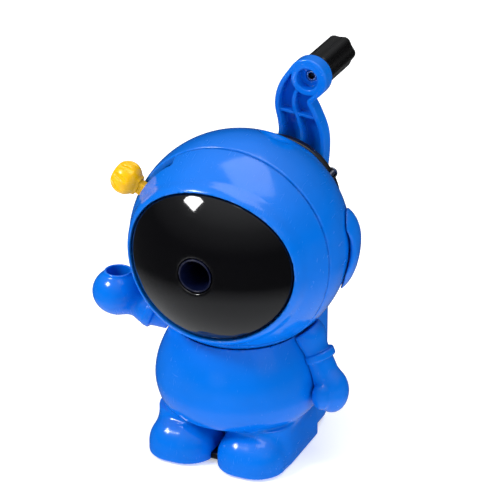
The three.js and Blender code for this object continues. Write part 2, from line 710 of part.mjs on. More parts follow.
function grip() {
  const near = armY + armDepth + 0.5;
  const bevel = { bevelEnabled: true, bevelThickness: 1.1, bevelSize: 1.1, bevelSegments: 2 };
  const body = new THREE.ExtrudeGeometry(gripOutline(), { depth: gripLength - 3.4, ...bevel });
  body.rotateX(Math.PI / 2).translate(0, near + gripLength - 1.1, 0);
  const wide = gripRadius - 0.1;
  const profile = [[0, near], [wide - 0.2, near], [wide, near + 0.3], [wide, near + 1.4], [0, near + 1.4]];
  const collar = turnedY(profile, 0, 0, 24);
  const bore = alongY(gripPinRadius + rodPlay, near - 1, near + gripLength - 5, 0, 0, 16);
  return toSolid(body).add(collar).subtract(bore).translate([throwX, 0, axisZ + throwZ]);
}

function gripPin() {
  const [front, end] = [armY + 4.1, armY + armDepth + gripLength - 5.5];
  const recess = [[0, front + 5], [1.15, front + 5], [1.15, front], [gripPinRadius, front]];
  const body = [[gripPinRadius, end - 0.5], [gripPinRadius - 0.5, end], [0, end]];
  return turnedY([...recess, ...body], throwX, axisZ + throwZ, 16);
}

const crankScrew = () =>
  screwGeometry(3.2, 4.5).rotate([0, 0, 180]).translate([0, armY + armDepth + 1.3, axisZ]);

function crankWasher() {
  const [front, back] = [armY + armDepth + gap, armY + armDepth + 1];
  return turnedY([[1.8, front], [5.4, front], [5.4, back], [1.8, back], [1.8, front]], 0, axisZ, 20);
}

// ---- body ----

const torsoPoints = [
  [24.8, 14.8], [26.7, 16], [28.6, 19.4], [bellyRadius, 25], [bellyRadius - 0.6, 31],
  [bellyRadius - 2.6, 37], [bellyRadius - 5.4, 42.4], [bellyRadius - 8.6, 47], [bellyRadius - 13, 51.5],
];

// The round torso, its skin moved outwards by a margin.
function torso(margin) {
  const line = new THREE.SplineCurve(torsoPoints.map(([r, z]) => new THREE.Vector2(r + margin, z)));
  const skin = line.getPoints(9).map((p) => [p.x, p.y]);
  return turnedZ([[0, skin[0][1]], ...skin, [0, skin.at(-1)[1]]]);
}

function legsAndFeet() {
  return join([-1, 1].flatMap((side) => {
    const [inner, outer] = [side * footInner, side * footOuter];
    const outline = (inset, front, back, corner) =>
      roundedRectangle(Math.min(inner, outer) + inset, Math.max(inner, outer) - inset, front, back, corner);
    const leg = plateZ(outline(0.6, footFrontY + 8, 22, 9.5), lift, legHeight, 6);
    const [puff, spread] = [6.5, 5.4];
    const bevel = { bevelEnabled: true, bevelThickness: puff, bevelSize: spread, bevelSegments: 4 };
    const sole = outline(spread, footFrontY + spread, 15, 2.8);
    const toe = new THREE.ExtrudeGeometry(sole, { depth: footHeight - puff - 1, curveSegments: 4, ...bevel });
    return [leg, toSolid(toe.translate(0, 0, 1)).intersect(block(-space, space, -space, space, lift, 50))];
  }));
}

function rearBlock() {
  const round = 2.6;
  const shape = roundedRectangle(-rearHalfWidth + round, rearHalfWidth - round, -8, rearEndY - round, 7);
  const bevel = { bevelEnabled: true, bevelThickness: round, bevelSize: round, bevelSegments: 3, curveSegments: 6 };
  const geometry = new THREE.ExtrudeGeometry(shape, { depth: rearHeight - lift - 2 * round, ...bevel });
  return toSolid(geometry.translate(0, 0, lift + round));
}

const faceSweep = () => alongY(headRadius - 0.6, -70, seamY + 2, 0, headZ, 32);

const plateOutline = (margin, corner) => roundedRectangle(
  -plateHalfWidth - margin, plateHalfWidth + margin, plateFrontY - margin, plateRearY + margin, corner);

// Everything cut from both body shells: helmet seat, drawer bay, chute, base recess and arm sockets.
function bodyCuts() {
  return join([
    headBall(headRadius + gap),
    faceSweep().intersect(block(-space, space, -2 * space, space, chinZ, 2 * headZ)),
    block(-bayHalfWidth, bayHalfWidth, bayFrontY, space, bayBottom, bayTop),
    block(-15.4, 15.4, -4.4, 20.4, bayTop - 2, space),
    plateZ(plateOutline(gap, 5), -5, plateTop + gap),
    eachAlongZ(baseScrewPlaces, 1.5, 0, bayBottom + 1),
    ...[-1, 1].map((side) => armPeg(side, 3 + gap)),
  ]);
}

const baseScrewPlaces = [[-17, -6], [17, -6], [-17, 12], [17, 12]];

const armPeg = (side, radius) => {
  const middle = side * (bellyRadius - 5.5);
  return alongX(radius, middle - 4.5, middle + 4.5, 0.5, 40.2, 14);
};

// The room inside the chest, a wall's thickness below the helmet's seat.
function torsoHollow() {
  return torso(-bodyWall)
    .intersect(block(-space, space, -space, 8, bayTop - 8, space))
    .subtract(headBall(headRadius + gap + bodyWall));
}

function bodyFrontShell() {
  return torso(0)
    .add(legsAndFeet())
    .subtract(torsoHollow())
    .subtract(bodyCuts())
    .intersect(block(-space, space, -space, splitY - gap / 2, -5, 80));
}

function bodyRearShell() {
  return rearBlock()
    .add(torso(0))
    .subtract(bodyCuts())
    .intersect(block(-space, space, splitY + gap / 2, space, -5, 80));
}

function shavingsDrawer() {
  const [half, bottom, top] = [bayHalfWidth - gap, bayBottom + gap, bayTop - gap];
  const outer = block(-half, half, bayFrontY + gap, rearEndY, bottom, top - 1.2);
  const face = block(-half, half, rearEndY - 2.4, rearEndY, bottom, top);
  const side = half - drawerWall;
  const inner = block(-side, side, bayFrontY + gap + drawerWall, rearEndY - 2.4, bottom + drawerWall, space);
  const pullShape = roundedRectangle(-9, 9, top - 10.3, top - 6.5, 1.8);
  return outer
    .add(face)
    .subtract(inner)
    .intersect(rearBlock().add(block(-half, half, -40, splitY, 0, space)))
    .add(plateY(pullShape, rearEndY - 1, rearEndY + 3.2, 4));
}

const padOutline = (margin) => {
  const [side, front, back] = [plateHalfWidth - padInset, plateFrontY + padInset, plateRearY - padInset];
  return roundedRectangle(-side - margin, side + margin, front - margin, back + margin, 3);
};

function basePlate() {
  return plateZ(plateOutline(0, 4.7), lift, plateTop)
    .subtract(plateZ(padOutline(gap), -5, padTop + gap, 4))
    .subtract(eachAlongZ(baseScrewPlaces, 3, -5, plateTop - 0.7, 12))
    .subtract(eachAlongZ(baseScrewPlaces, 1.5, -5, 10));
}

const gripPad = () =>
  plateZ(padOutline(0), 0, padTop, 4).subtract(eachAlongZ(baseScrewPlaces, 3.6, -5, 5, 12));

const baseScrew = ([x, y]) =>
  screwGeometry(2.2, 4.1).rotate([90, 0, 0]).translate([x, y, plateTop - 1]);

// A limb as a chain of round sections between two places.
function limb(from, to, radius) {
  const [a, b] = [new THREE.Vector3(...from), new THREE.Vector3(...to)];
  const geometry = new THREE.CapsuleGeometry(radius, a.distanceTo(b), 3, 12);
  geometry.applyQuaternion(turnFromY(a, b));
  return toSolid(geometry.translate(...a.lerp(b, 0.5).toArray()));
}

// The turn that carries +Y to the direction from a to b.
const turnFromY = (a, b) =>
  new THREE.Quaternion().setFromUnitVectors(new THREE.Vector3(0, 1, 0), b.clone().sub(a).normalize());

// A short band round a limb, centred on a place along a direction.
function cuff(at, towards, radius, width) {
  const half = width / 2;
  const near = [[0, -half], [radius - 0.5, -half], [radius, -half + 0.5]];
  const far = [[radius, half - 0.5], [radius - 0.5, half], [0, half]];
  const geometry = turnedGeometry([...near, ...far], 14);
  geometry.applyQuaternion(turnFromY(new THREE.Vector3(...at), new THREE.Vector3(...towards)));
  return toSolid(geometry.translate(...at));
}

const trimToBody = (solid) =>
  solid.subtract(torso(gap)).subtract(headBall(headRadius + 3 * gap)).subtract(faceSweep());

const fistAt = [-44.4, -5, 50];
const fistHeight = fistRadius * 0.91;

function raisedArm() {
  const shoulder = [-25.5, -2.6, 43.6];
  const elbow = [-33, -4.4, 44.6];
  const [x, y, z] = fistAt;
  const fist = ball(fistRadius, fistRadius, fistHeight, fistAt, 18, 12);
  const rim = alongZ(socketRadius + 0.9, z + 5, z + fistHeight - 0.5, x, y, 16);
  const socket = alongZ(socketRadius, z + 8 - socketDepth, z + 20, x, y, 16);
  const band = cuff([-31.6, -4, 44.4], fistAt, 6.2, 3);
  const limbs = join([limb(shoulder, elbow, 5.4), limb(elbow, fistAt, 4.8), band]);
  return trimToBody(join([limbs, fist, rim]).subtract(socket)).add(armPeg(-1, 3));
}

function loweredArm() {
  const shoulder = [24.5, 1.6, 44];
  const hand = [34.6, -0.2, 25.5];
  const band = cuff([28.9, 0.9, 37.4], hand, 6.2, 2.8);
  const limbs = join([limb(shoulder, hand, 5.4), ball(6.6, 6.4, 6.8, shoulder, 14, 8), band]);
  const mitten = join([ball(6.2, 5.8, 8.4, hand, 14, 10), ball(3.4, 3, 5, [33, -5.2, 25], 10, 7)]);
  return trimToBody(limbs.add(mitten)).add(armPeg(1, 3));
}

// ---- assembly ----

const part = new THREE.Group();
part.name = "astronaut_pencil_sharpener";

function piece(name, solid, color, roughness, metalness = 0) {
  const material = new THREE.MeshStandardMaterial({ color, roughness, metalness });
  const mesh = new THREE.Mesh(toGeometry(solid), material);
  mesh.name = name;
  part.add(mesh);
}

piece("head_shell", headShell(), blue, 0.22);
piece("left_ear_pod", earPod(1), blue, 0.22);
piece("right_ear_pod", earPod(-1), blue, 0.22);
piece("rear_cover", rearCover(), black, 0.4);
piece("shaft_bush", shaftBush(), "#d8d8d2", 0.5);
piece("head_bulkhead", headBulkhead(), "#1450b4", 0.45);
piece("ring_gear", ringGear(), "#e4e4de", 0.5);
piece("body_front_shell", bodyFrontShell(), blue, 0.22);
piece("body_rear_shell", bodyRearShell(), blue, 0.22);
piece("raised_arm", raisedArm(), blue, 0.22);
piece("lowered_arm", loweredArm(), blue, 0.22);
piece("base_plate", basePlate(), black, 0.55);
piece("grip_pad", gripPad(), "#151515", 0.9);
baseScrewPlaces.forEach((place, i) => piece(`base_screw_${i + 1}`, baseScrew(place), steel, 0.35, 1));
bulkheadScrewPlaces().forEach(([x, z], i) => {
  const screw = screwGeometry(2.2, 4.6).translate([x, seamY + seamGap / 2 + 0.1, z]);
  piece(`bulkhead_screw_${i + 1}`, screw, steel, 0.35, 1);
});
coverScrewPlaces().forEach(([x, z], i) => {
  const screw = screwGeometry(2, 6).rotate([0, 0, 180]).translate([x, coverY + coverPlate + gap, z]);
  piece(`cover_screw_${i + 1}`, screw, "#303338", 0.35, 1);
});

piece("face_shell", faceShell(), blue, 0.22);
piece("visor", visor(), "#050507", 0.06);
piece("pencil_guide", pencilGuide(), "#0a1230", 0.4);
piece("clamp_plate", clampPlateSolid(), "#1450b4", 0.45);
clampPostPlaces().forEach(([x, z], i) => {
  const screw = screwGeometry(2.2, 4.2).rotate([0, 0, 180]).translate([x, clampY + clampPlate + gap, z]);
  piece(`clamp_screw_${i + 1}`, screw, steel, 0.35, 1);
});
[["left", 1], ["right", -1]].forEach(([word, side]) => {
  piece(`${word}_guide_rod`, guideRod(side), steel, 0.25, 1);
  piece(`${word}_rod_stop`, rodStop(side), "#202226", 0.5);
  piece(`${word}_feed_spring`, feedSpring(side), steel, 0.3, 1);
});
piece("cam_ring", camRing(), "#e4e4de", 0.5);
piece("release_lever", releaseLever(), yellow, 0.3);
jawAngles.forEach((angle, i) => piece(`clamp_jaw_${i + 1}`, clampJaw(angle), "#202226", 0.45));

piece("crank_arm", crankArm(), blue, 0.25);
piece("cutter_carrier", cutterCarrier(), "#8e9298", 0.4, 1);
piece("cutter_axle", cutterAxle(), steel, 0.25, 1);
piece("crank_washer", crankWasher(), steel, 0.35, 1);
piece("crank_screw", crankScrew(), steel, 0.35, 1);
piece("grip_pin", gripPin(), steel, 0.3, 1);
piece("crank_grip", grip(), black, 0.3);
piece("helical_cutter", helicalCutter(), "#7c8087", 0.3, 1);
piece("cutter_pinion", cutterPinion(), "#b9a25c", 0.4, 1);
piece("shavings_drawer", shavingsDrawer(), blue, 0.25);

export default part;
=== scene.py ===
"""Looks for the hand-crank astronaut pencil sharpener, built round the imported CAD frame.

Shapes are written as distance fields in millimetres and meshed on a fine grid, so every outer
skin is truly round and has soft moulded edges. The meshes end up in metres in the CAD frame.
"""
import json
import math

import bpy
import numpy as np
from mathutils import Matrix, Vector


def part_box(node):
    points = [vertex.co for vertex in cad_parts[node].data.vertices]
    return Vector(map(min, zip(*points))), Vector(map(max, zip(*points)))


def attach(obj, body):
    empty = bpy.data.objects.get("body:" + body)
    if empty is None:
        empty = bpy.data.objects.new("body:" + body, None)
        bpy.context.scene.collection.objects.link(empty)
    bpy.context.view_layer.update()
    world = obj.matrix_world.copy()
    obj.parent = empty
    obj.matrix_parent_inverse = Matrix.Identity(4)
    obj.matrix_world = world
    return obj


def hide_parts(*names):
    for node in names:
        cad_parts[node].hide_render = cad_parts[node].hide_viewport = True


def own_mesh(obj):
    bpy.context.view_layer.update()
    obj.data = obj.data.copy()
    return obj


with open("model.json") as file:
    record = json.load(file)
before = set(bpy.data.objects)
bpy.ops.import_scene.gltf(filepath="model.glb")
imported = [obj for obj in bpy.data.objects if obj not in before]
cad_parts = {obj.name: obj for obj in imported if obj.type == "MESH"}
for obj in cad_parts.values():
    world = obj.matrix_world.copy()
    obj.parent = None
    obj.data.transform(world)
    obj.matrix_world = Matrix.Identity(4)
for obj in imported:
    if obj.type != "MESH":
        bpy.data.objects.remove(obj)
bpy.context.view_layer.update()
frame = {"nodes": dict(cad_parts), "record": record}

MM = 0.001


def box_mm(node):
    """A CAD node's lowest and highest corner in millimetres."""
    lo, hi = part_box(node)
    return np.array(lo[:]) / MM, np.array(hi[:]) / MM


def middle(node):
    lo, hi = box_mm(node)
    return (lo + hi) / 2


AXIS_RISE = 2.2  # the pencil axis above the middle of the helmet, in millimetres

# Places taken from the frame, in millimetres
AXIS_Z = middle("shaft_bush")[2]  # height of the pencil and crank axis
HEAD_Z = AXIS_Z - AXIS_RISE
HEAD_R = 38.0
SEAM_Y = box_mm("face_shell")[1][1]  # rear edge of the face shell
REAR_SEAM_Y = SEAM_Y + 0.5  # front edge of the head shell
COVER_HI = box_mm("rear_cover")[1]
ARM_LO, ARM_HI = box_mm("crank_arm")
GRIP_X, _, GRIP_Z = middle("grip_pin")
GRIP_LO, GRIP_HI = box_mm("crank_grip")
PLATE_LO, PLATE_HI = box_mm("base_plate")
PAD_LO, PAD_HI = box_mm("grip_pad")
SPLIT_Y = box_mm("body_front_shell")[1][1]
REAR_SPLIT_Y = box_mm("body_rear_shell")[0][1]
REAR_Y = box_mm("body_rear_shell")[1][1]
DRAWER_LO, DRAWER_HI = box_mm("shavings_drawer")
POD_Z = HEAD_Z + 1.5
CLAMP_Y = box_mm("clamp_plate")[0][1]
HEAD = np.array((0, 0, HEAD_Z))

# Sizes that the frame doesn't state, in millimetres
GAP = 0.3
HEAD_WALL = 2.4
MOUTH_HALF = (30.2, 26.2)
MOUTH_Z = AXIS_Z - 0.8
LIP_WIDTH = 2.9
CHIN_Z = box_mm("face_shell")[0][2]  # lower edge of the face shell
CHIN_GAP = 0.25
VISOR = np.array((38.2, 37.4, 38.2))
VISOR_WALL = 2.0
ENTRY_R = 6.2
LEVER_ANGLE = 153.5  # degrees from +X towards +Z
LEVER_TURN = 22
BODY_WALL = 2.2
LIFT = 0.8


# ---- distance fields: p is an array of points, and a field is negative inside ----

def soft_min(a, b, k):
    h = np.clip(0.5 + 0.5 * (b - a) / k, 0, 1)
    return b + (a - b) * h - k * h * (1 - h)


def soft_max(a, b, k):
    return -soft_min(-a, -b, k)


def cut(a, b, k=0.3):
    """a with b taken away and the new edge softened."""
    return soft_max(a, -b, k)


def ball(p, radius, at=HEAD):
    return np.linalg.norm(p - at, axis=1) - radius


def ellipsoid(p, radii, at):
    q = (p - at) / radii
    near = np.linalg.norm(q, axis=1)
    return near * (near - 1) / np.maximum(np.linalg.norm(q / radii, axis=1), 1e-9)


def capsule(p, a, b, start, end):
    a, b = np.array(a, float), np.array(b, float)
    run = b - a
    h = np.clip((p - a) @ run / (run @ run), 0, 1)
    return np.linalg.norm(p - a - h[:, None] * run, axis=1) - (start + (end - start) * h)


def pull(flat, along, lo, hi, edge=0.3):
    """A flat distance drawn out along one direction between two values, with rounded edges."""
    u = flat + edge
    v = np.abs(along - (lo + hi) / 2) - (hi - lo) / 2 + edge
    return np.minimum(np.maximum(u, v), 0) + np.hypot(np.maximum(u, 0), np.maximum(v, 0)) - edge


def rectangle(u, v, u0, u1, v0, v1, corner=0.0):
    a = np.abs(u - (u0 + u1) / 2) - (u1 - u0) / 2 + corner
    b = np.abs(v - (v0 + v1) / 2) - (v1 - v0) / 2 + corner
    return np.minimum(np.maximum(a, b), 0) + np.hypot(np.maximum(a, 0), np.maximum(b, 0)) - corner


def brick(p, x0, x1, y0, y1, z0, z1, edge=0.3, corner=None):
    flat = rectangle(p[:, 0], p[:, 1], x0, x1, y0, y1, edge if corner is None else corner)
    return pull(flat, p[:, 2], z0, z1, edge)


def drum_y(p, radius, y0, y1, x=0.0, z=None, edge=0.3):
    z = AXIS_Z if z is None else z
    return pull(np.hypot(p[:, 0] - x, p[:, 2] - z) - radius, p[:, 1], y0, y1, edge)


def drum_z(p, radius, z0, z1, x, y, edge=0.2):
    return pull(np.hypot(p[:, 0] - x, p[:, 1] - y) - radius, p[:, 2], z0, z1, edge)


def drum_x(p, radius, x0, x1, y, z, edge=0.2):
    return pull(np.hypot(p[:, 1] - y, p[:, 2] - z) - radius, p[:, 0], x0, x1, edge)


def band(p, at, towards, radius, width, edge=0.6):
    """A short round band centred on a place, its axis along a direction."""
    at, towards = np.array(at, float), np.array(towards, float)
    way = (towards - at) / np.linalg.norm(towards - at)
    along = (p - at) @ way
    away = np.linalg.norm(p - at - along[:, None] * way, axis=1)
    return pull(away - radius, along, -width / 2, width / 2, edge)


def spline(points, count):
    """Points on a smooth curve through the given ones, and how far along the list each one is."""
    points = np.array(points, float)
    padded = np.vstack([2 * points[0] - points[1], points, 2 * points[-1] - points[-2]])
    t = np.linspace(0, len(points) - 1, count)
    i = np.minimum(t.astype(int), len(points) - 2)
    f = (t - i)[:, None]
    a, b, c, d = (padded[i + k] for k in range(4))
    return 0.5 * (2 * b + (c - a) * f + (2 * a - 5 * b + 4 * c - d) * f**2 + (3 * b - a - 3 * c + d) * f**3)


# ---- meshing ----

BLOCK = 6
CORNERS = np.array([(i, j, k) for i in (0, 1) for j in (0, 1) for k in (0, 1)])
EDGES = [(a, b) for a in range(8) for b in range(a + 1, 8) if np.abs(CORNERS[a] - CORNERS[b]).sum() == 1]


def sample(field, points):
    out = np.empty(len(points))
    for i in range(0, len(points), 200000):
        out[i:i + 200000] = field(points[i:i + 200000])
    return out


def grid_values(field, origin, blocks, step):
    """The field on a grid, worked out finely only in the blocks that the surface may cross."""
    where = np.stack(np.meshgrid(*[np.arange(n) for n in blocks], indexing="ij"), -1).reshape(-1, 3)
    centre = sample(field, origin + (where + 0.5) * BLOCK * step)
    values = np.repeat(np.repeat(np.repeat(centre.reshape(blocks), BLOCK, 0), BLOCK, 1), BLOCK, 2)
    values = np.pad(values, ((0, 1), (0, 1), (0, 1)), mode="edge")
    live = where[np.abs(centre) < BLOCK * step * 1.25]
    local = np.stack(np.meshgrid(*[np.arange(BLOCK + 1)] * 3, indexing="ij"), -1).reshape(-1, 3)
    index = (live[:, None] * BLOCK + local[None]).reshape(-1, 3)
    values[tuple(index.T)] = sample(field, origin + index * step)
    return values


def slope(field, points, h):
    out = np.empty_like(points)
    for axis in range(3):
        shift = np.zeros(3)
        shift[axis] = h
        out[:, axis] = (sample(field, points + shift) - sample(field, points - shift)) / (2 * h)
    return out


def surface(field, lo, hi, step):
    """Vertices, normals and quads of a field's zero surface."""
    origin = np.array(lo, float) - 1.7 * step
    blocks = [int(n) for n in np.ceil((np.array(hi, float) + 1.7 * step - origin) / (step * BLOCK))]
    values = grid_values(field, origin, blocks, step)
    inside = values < 0
    size = np.array(values.shape) - 1
    count = sum(inside[i:i + size[0], j:j + size[1], k:k + size[2]].astype(np.int8) for i, j, k in CORNERS)
    cells = np.argwhere((count > 0) & (count < 8))
    number = np.full(size, -1)
    number[tuple(cells.T)] = np.arange(len(cells))
    total = np.zeros((len(cells), 3))
    crossings = np.zeros(len(cells))
    corner_values = [values[tuple((cells + c).T)] for c in CORNERS]
    for a, b in EDGES:
        va, vb = corner_values[a], corner_values[b]
        crosses = (va < 0) != (vb < 0)
        t = np.where(crosses, va / np.where(crosses, va - vb, 1), 0)
        total += np.where(crosses[:, None], CORNERS[a] + t[:, None] * (CORNERS[b] - CORNERS[a]), 0)
        crossings += crosses
    points = origin + (cells + total / crossings[:, None]) * step
    for _ in range(2):
        g = slope(field, points, 0.02)
        move = -sample(field, points)[:, None] * g / np.maximum((g**2).sum(1), 0.05)[:, None]
        far = np.linalg.norm(move, axis=1)[:, None]
        points = points + move * np.minimum(1, 0.45 * step / np.maximum(far, 1e-9))
    quads = []
    for axis in range(3):
        b, c = np.eye(3, dtype=int)[(axis + 1) % 3], np.eye(3, dtype=int)[(axis + 2) % 3]
        first = inside.take(range(inside.shape[axis] - 1), axis)
        second = inside.take(range(1, inside.shape[axis]), axis)
        at = np.argwhere(first != second)
        at = at[((at @ b) > 0) & ((at @ c) > 0) & ((at @ b) < size @ b) & ((at @ c) < size @ c)]
        ring = [number[tuple((at - s).T)] for s in (b + c, c, 0 * b, b)]
        quad = np.stack(ring, 1)
        forward = first[tuple(at.T)]
        quads.append(np.where(forward[:, None], quad, quad[:, ::-1]))
    normals = slope(field, points, 0.12)
    normals /= np.maximum(np.linalg.norm(normals, axis=1)[:, None], 1e-9)
    return points, normals, np.vstack(quads)


def new_object(name, points, faces, normals=None, sharp=None):
    mesh = bpy.data.meshes.new(name)
    mesh.from_pydata((np.asarray(points) * MM).tolist(), [], [list(f) for f in faces])
    mesh.polygons.foreach_set("use_smooth", [True] * len(mesh.polygons))
    if sharp:
        mesh.set_sharp_from_angle(angle=math.radians(sharp))
    if normals is not None:
        mesh.normals_split_custom_set_from_vertices(normals.tolist())
    obj = bpy.data.objects.new(name, mesh)
    bpy.context.scene.collection.objects.link(obj)
    return obj


def dress(obj, body, nodes, material):
    """Says what a finished piece rides on, which CAD nodes it stands for and what it is made of."""
    obj.data.materials.clear()
    obj.data.materials.append(material)
    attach(obj, body)
    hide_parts(*nodes)
    return obj


def skin(name, field, step, body, node, material, room=1.5):
    """Meshes a field round its CAD node's box and puts it in that node's place."""
    lo, hi = box_mm(node)
    points, normals, quads = surface(field, lo - room, hi + room, step)
    return dress(new_object(name, points, quads.tolist(), normals), body, [node], material)


def face_outwards(mesh):
    """Turns a closed mesh's faces over if they point inwards."""
    volume = sum(Vector(mesh.vertices[f.vertices[0]].co).dot(f.normal) * f.area for f in mesh.polygons)
    if volume < 0:
        mesh.flip_normals()


def soften(profile, radius, steps=3):
    """A closed profile with its corners rounded."""
    out = []
    n = len(profile)
    for i in range(n):
        here, before, after = (np.array(profile[j % n], float) for j in (i, i - 1, i + 1))
        a, b = before - here, after - here
        reach = min(radius, np.linalg.norm(a) * 0.45, np.linalg.norm(b) * 0.45)
        if here[0] < 1e-6 or reach < 1e-4:
            out.append(here)
            continue
        start, end = here + a / np.linalg.norm(a) * reach, here + b / np.linalg.norm(b) * reach
        for t in np.linspace(0, 1, steps + 1):
            out.append((1 - t) ** 2 * start + 2 * t * (1 - t) * here + t**2 * end)
    return out


def lathe(name, profile, soft=0.2, around=64):
    """A solid turned about the Y axis at the origin, from a closed profile of (radius, y)."""
    rings = soften(profile, soft)
    points, faces, starts = [], [], []
    for r, y in rings:
        starts.append(len(points))
        turns = [0] if r < 1e-6 else np.arange(around) * 2 * math.pi / around
        points += [(r * math.cos(t), y, r * math.sin(t)) for t in turns]
    sizes = [1 if r < 1e-6 else around for r, _ in rings]
    for i in range(len(rings)):
        j = (i + 1) % len(rings)
        if sizes[i] == 1 and sizes[j] == 1:
            continue
        for k in range(around):
            m = (k + 1) % around
            ring = [starts[i] + (k if sizes[i] > 1 else 0), starts[i] + (m if sizes[i] > 1 else 0),
                    starts[j] + (m if sizes[j] > 1 else 0), starts[j] + (k if sizes[j] > 1 else 0)]
            faces.append(list(dict.fromkeys(ring)))
    obj = new_object(name, points, faces)
    face_outwards(obj.data)
    obj.data.set_sharp_from_angle(angle=math.radians(40))
    return obj


def put(obj, x, y, z):
    """Moves a piece's mesh to its place, given in millimetres."""
    obj.data.transform(Matrix.Translation(Vector((x, y, z)) * MM))
    return obj


# ---- materials ----

def srgb(text):
    values = [int(text[i:i + 2], 16) / 255 for i in (1, 3, 5)]
    return tuple((v / 12.92 if v <= 0.04045 else ((v + 0.055) / 1.055) ** 2.4) for v in values) + (1.0,)


class Nodes:
    """A short way to write a material's node tree."""

    def __init__(self, name):
        self.material = bpy.data.materials.new(name)
        self.material.use_nodes = True
        self.tree = self.material.node_tree
        self.tree.nodes.clear()
        self.shader = self.add("ShaderNodeBsdfPrincipled")
        out = self.add("ShaderNodeOutputMaterial")
        self.link(self.shader.outputs["BSDF"], out.inputs["Surface"])
        self.place = self.add("ShaderNodeTexCoord").outputs["Object"]

    def add(self, kind, **values):
        node = self.tree.nodes.new(kind)
        for key, value in values.items():
            setattr(node, key, value)
        return node

    def link(self, a, b):
        self.tree.links.new(a, b)

    def set(self, **values):
        for key, value in values.items():
            self.shader.inputs[key.replace("_", " ")].default_value = value

    def noise(self, scale, detail=4.0, rough=0.55, stretch=None):
        node = self.add("ShaderNodeTexNoise")
        node.inputs["Scale"].default_value = scale
        node.inputs["Detail"].default_value = detail
        node.inputs["Roughness"].default_value = rough
        source = self.place
        if stretch:
            mapping = self.add("ShaderNodeMapping")
            mapping.inputs["Scale"].default_value = stretch
            self.link(self.place, mapping.inputs["Vector"])
            source = mapping.outputs["Vector"]
        self.link(source, node.inputs["Vector"])
        return node.outputs["Fac"]

    def ramp(self, source, low, high, out_low=0.0, out_high=1.0):
        node = self.add("ShaderNodeMapRange")
        for key, value in zip(("From Min", "From Max", "To Min", "To Max"), (low, high, out_low, out_high)):
            node.inputs[key].default_value = value
        self.link(source, node.inputs["Value"])
        return node.outputs["Result"]

    def math(self, how, a, b):
        node = self.add("ShaderNodeMath", operation=how)
        for socket, value in zip(node.inputs, (a, b)):
            if isinstance(value, (int, float)):
                socket.default_value = value
            else:
                self.link(value, socket)
        return node.outputs["Value"]

    def mix(self, factor, a, b):
        node = self.add("ShaderNodeMix", data_type="RGBA")
        self.link(factor, node.inputs["Factor"])
        for socket, value in zip((node.inputs[6], node.inputs[7]), (a, b)):
            if isinstance(value, tuple):
                socket.default_value = value
            else:
                self.link(value, socket)
        return node.outputs[2]

    def bump(self, height, strength, distance, before=None):
        node = self.add("ShaderNodeBump")
        node.inputs["Strength"].default_value = strength
        node.inputs["Distance"].default_value = distance
        self.link(height, node.inputs["Height"])
        if before:
            self.link(before, node.inputs["Normal"])
        return node.outputs["Normal"]

    def edges(self, low=0.51, high=0.6):
        """High on outer edges, where handling polishes and lightens a moulding."""
        return self.ramp(self.add("ShaderNodeNewGeometry").outputs["Pointiness"], low, high)


def shade(colour, factor):
    return tuple(min(1.0, c * factor) for c in colour[:3]) + (1.0,)


def moulded(name, colour, rough, gloss=0.5, grain=0.02, mottling=0.06, wear=0.25, scuffs=0.12, coat=0.0):
    """Injection-moulded plastic: faint colour drift, orange peel, fine scuffs, handled edges."""
    n = Nodes(name)
    base = srgb(colour)
    drift = n.ramp(n.noise(38, 3), 0.3, 0.7)
    body = n.mix(drift, shade(base, 1 - mottling), shade(base, 1 + mottling))
    worn = n.math("MULTIPLY", n.edges(), n.ramp(n.noise(260, 5), 0.42, 0.7, 0, wear))
    lighter = tuple(c + (1 - c) * 0.22 for c in base[:3]) + (1.0,)
    n.link(n.mix(worn, body, lighter), n.shader.inputs["Base Color"])
    smears = n.ramp(n.noise(55, 4, 0.6, (1, 0.35, 1)), 0.45, 0.75, 0, scuffs * 0.5)
    scratches = n.ramp(n.noise(420, 2, 0.5, (6, 0.35, 1)), 0.62, 0.7, 0, scuffs)
    hairlines = n.ramp(n.noise(380, 2, 0.5, (0.3, 1, 7)), 0.64, 0.7, 0, scuffs * 0.8)
    total = n.math("ADD", n.math("ADD", smears, scratches), n.math("ADD", hairlines, rough))
    n.link(total, n.shader.inputs["Roughness"])
    peel = n.bump(n.noise(700, 2, 0.4), grain, 0.0003)
    sink = n.bump(n.noise(45, 1, 0.4), grain * 2, 0.0006, peel)
    n.link(sink, n.shader.inputs["Normal"])
    n.set(Specular_IOR_Level=gloss, Coat_Weight=coat, Coat_Roughness=0.06, IOR=1.5)
    return n.material


def metal(name, colour, rough, brushing=(1, 1, 1), grain=0.05, tarnish=0.15):
    """Turned, drawn or cast metal with tool marks, stains and bright edges."""
    n = Nodes(name)
    base = srgb(colour)
    stain = n.ramp(n.noise(120, 5), 0.35, 0.75, 0, 1)
    body = n.mix(stain, shade(base, 1.05), shade(base, 1 - tarnish))
    n.link(n.mix(n.edges(0.52, 0.62), body, shade(base, 1.3)), n.shader.inputs["Base Color"])
    marks = n.noise(900, 3, 0.6, brushing)
    n.link(n.ramp(marks, 0.3, 0.7, rough * 0.75, rough * 1.35), n.shader.inputs["Roughness"])
    n.link(n.bump(marks, grain, 0.0002), n.shader.inputs["Normal"])
    n.set(Metallic=1.0)
    return n.material


def rubber(name, colour):
    """Matt moulded rubber with a fine grain and pale dust in it."""
    n = Nodes(name)
    base = srgb(colour)
    dust = n.ramp(n.noise(300, 6, 0.7), 0.5, 0.8, 0, 0.35)
    n.link(n.mix(dust, base, srgb("#5a5856")), n.shader.inputs["Base Color"])
    n.link(n.ramp(n.noise(160, 4), 0.3, 0.7, 0.68, 0.9), n.shader.inputs["Roughness"])
    n.link(n.bump(n.noise(2600, 3), 0.35, 0.0001), n.shader.inputs["Normal"])
    n.set(Specular_IOR_Level=0.3)
    return n.material


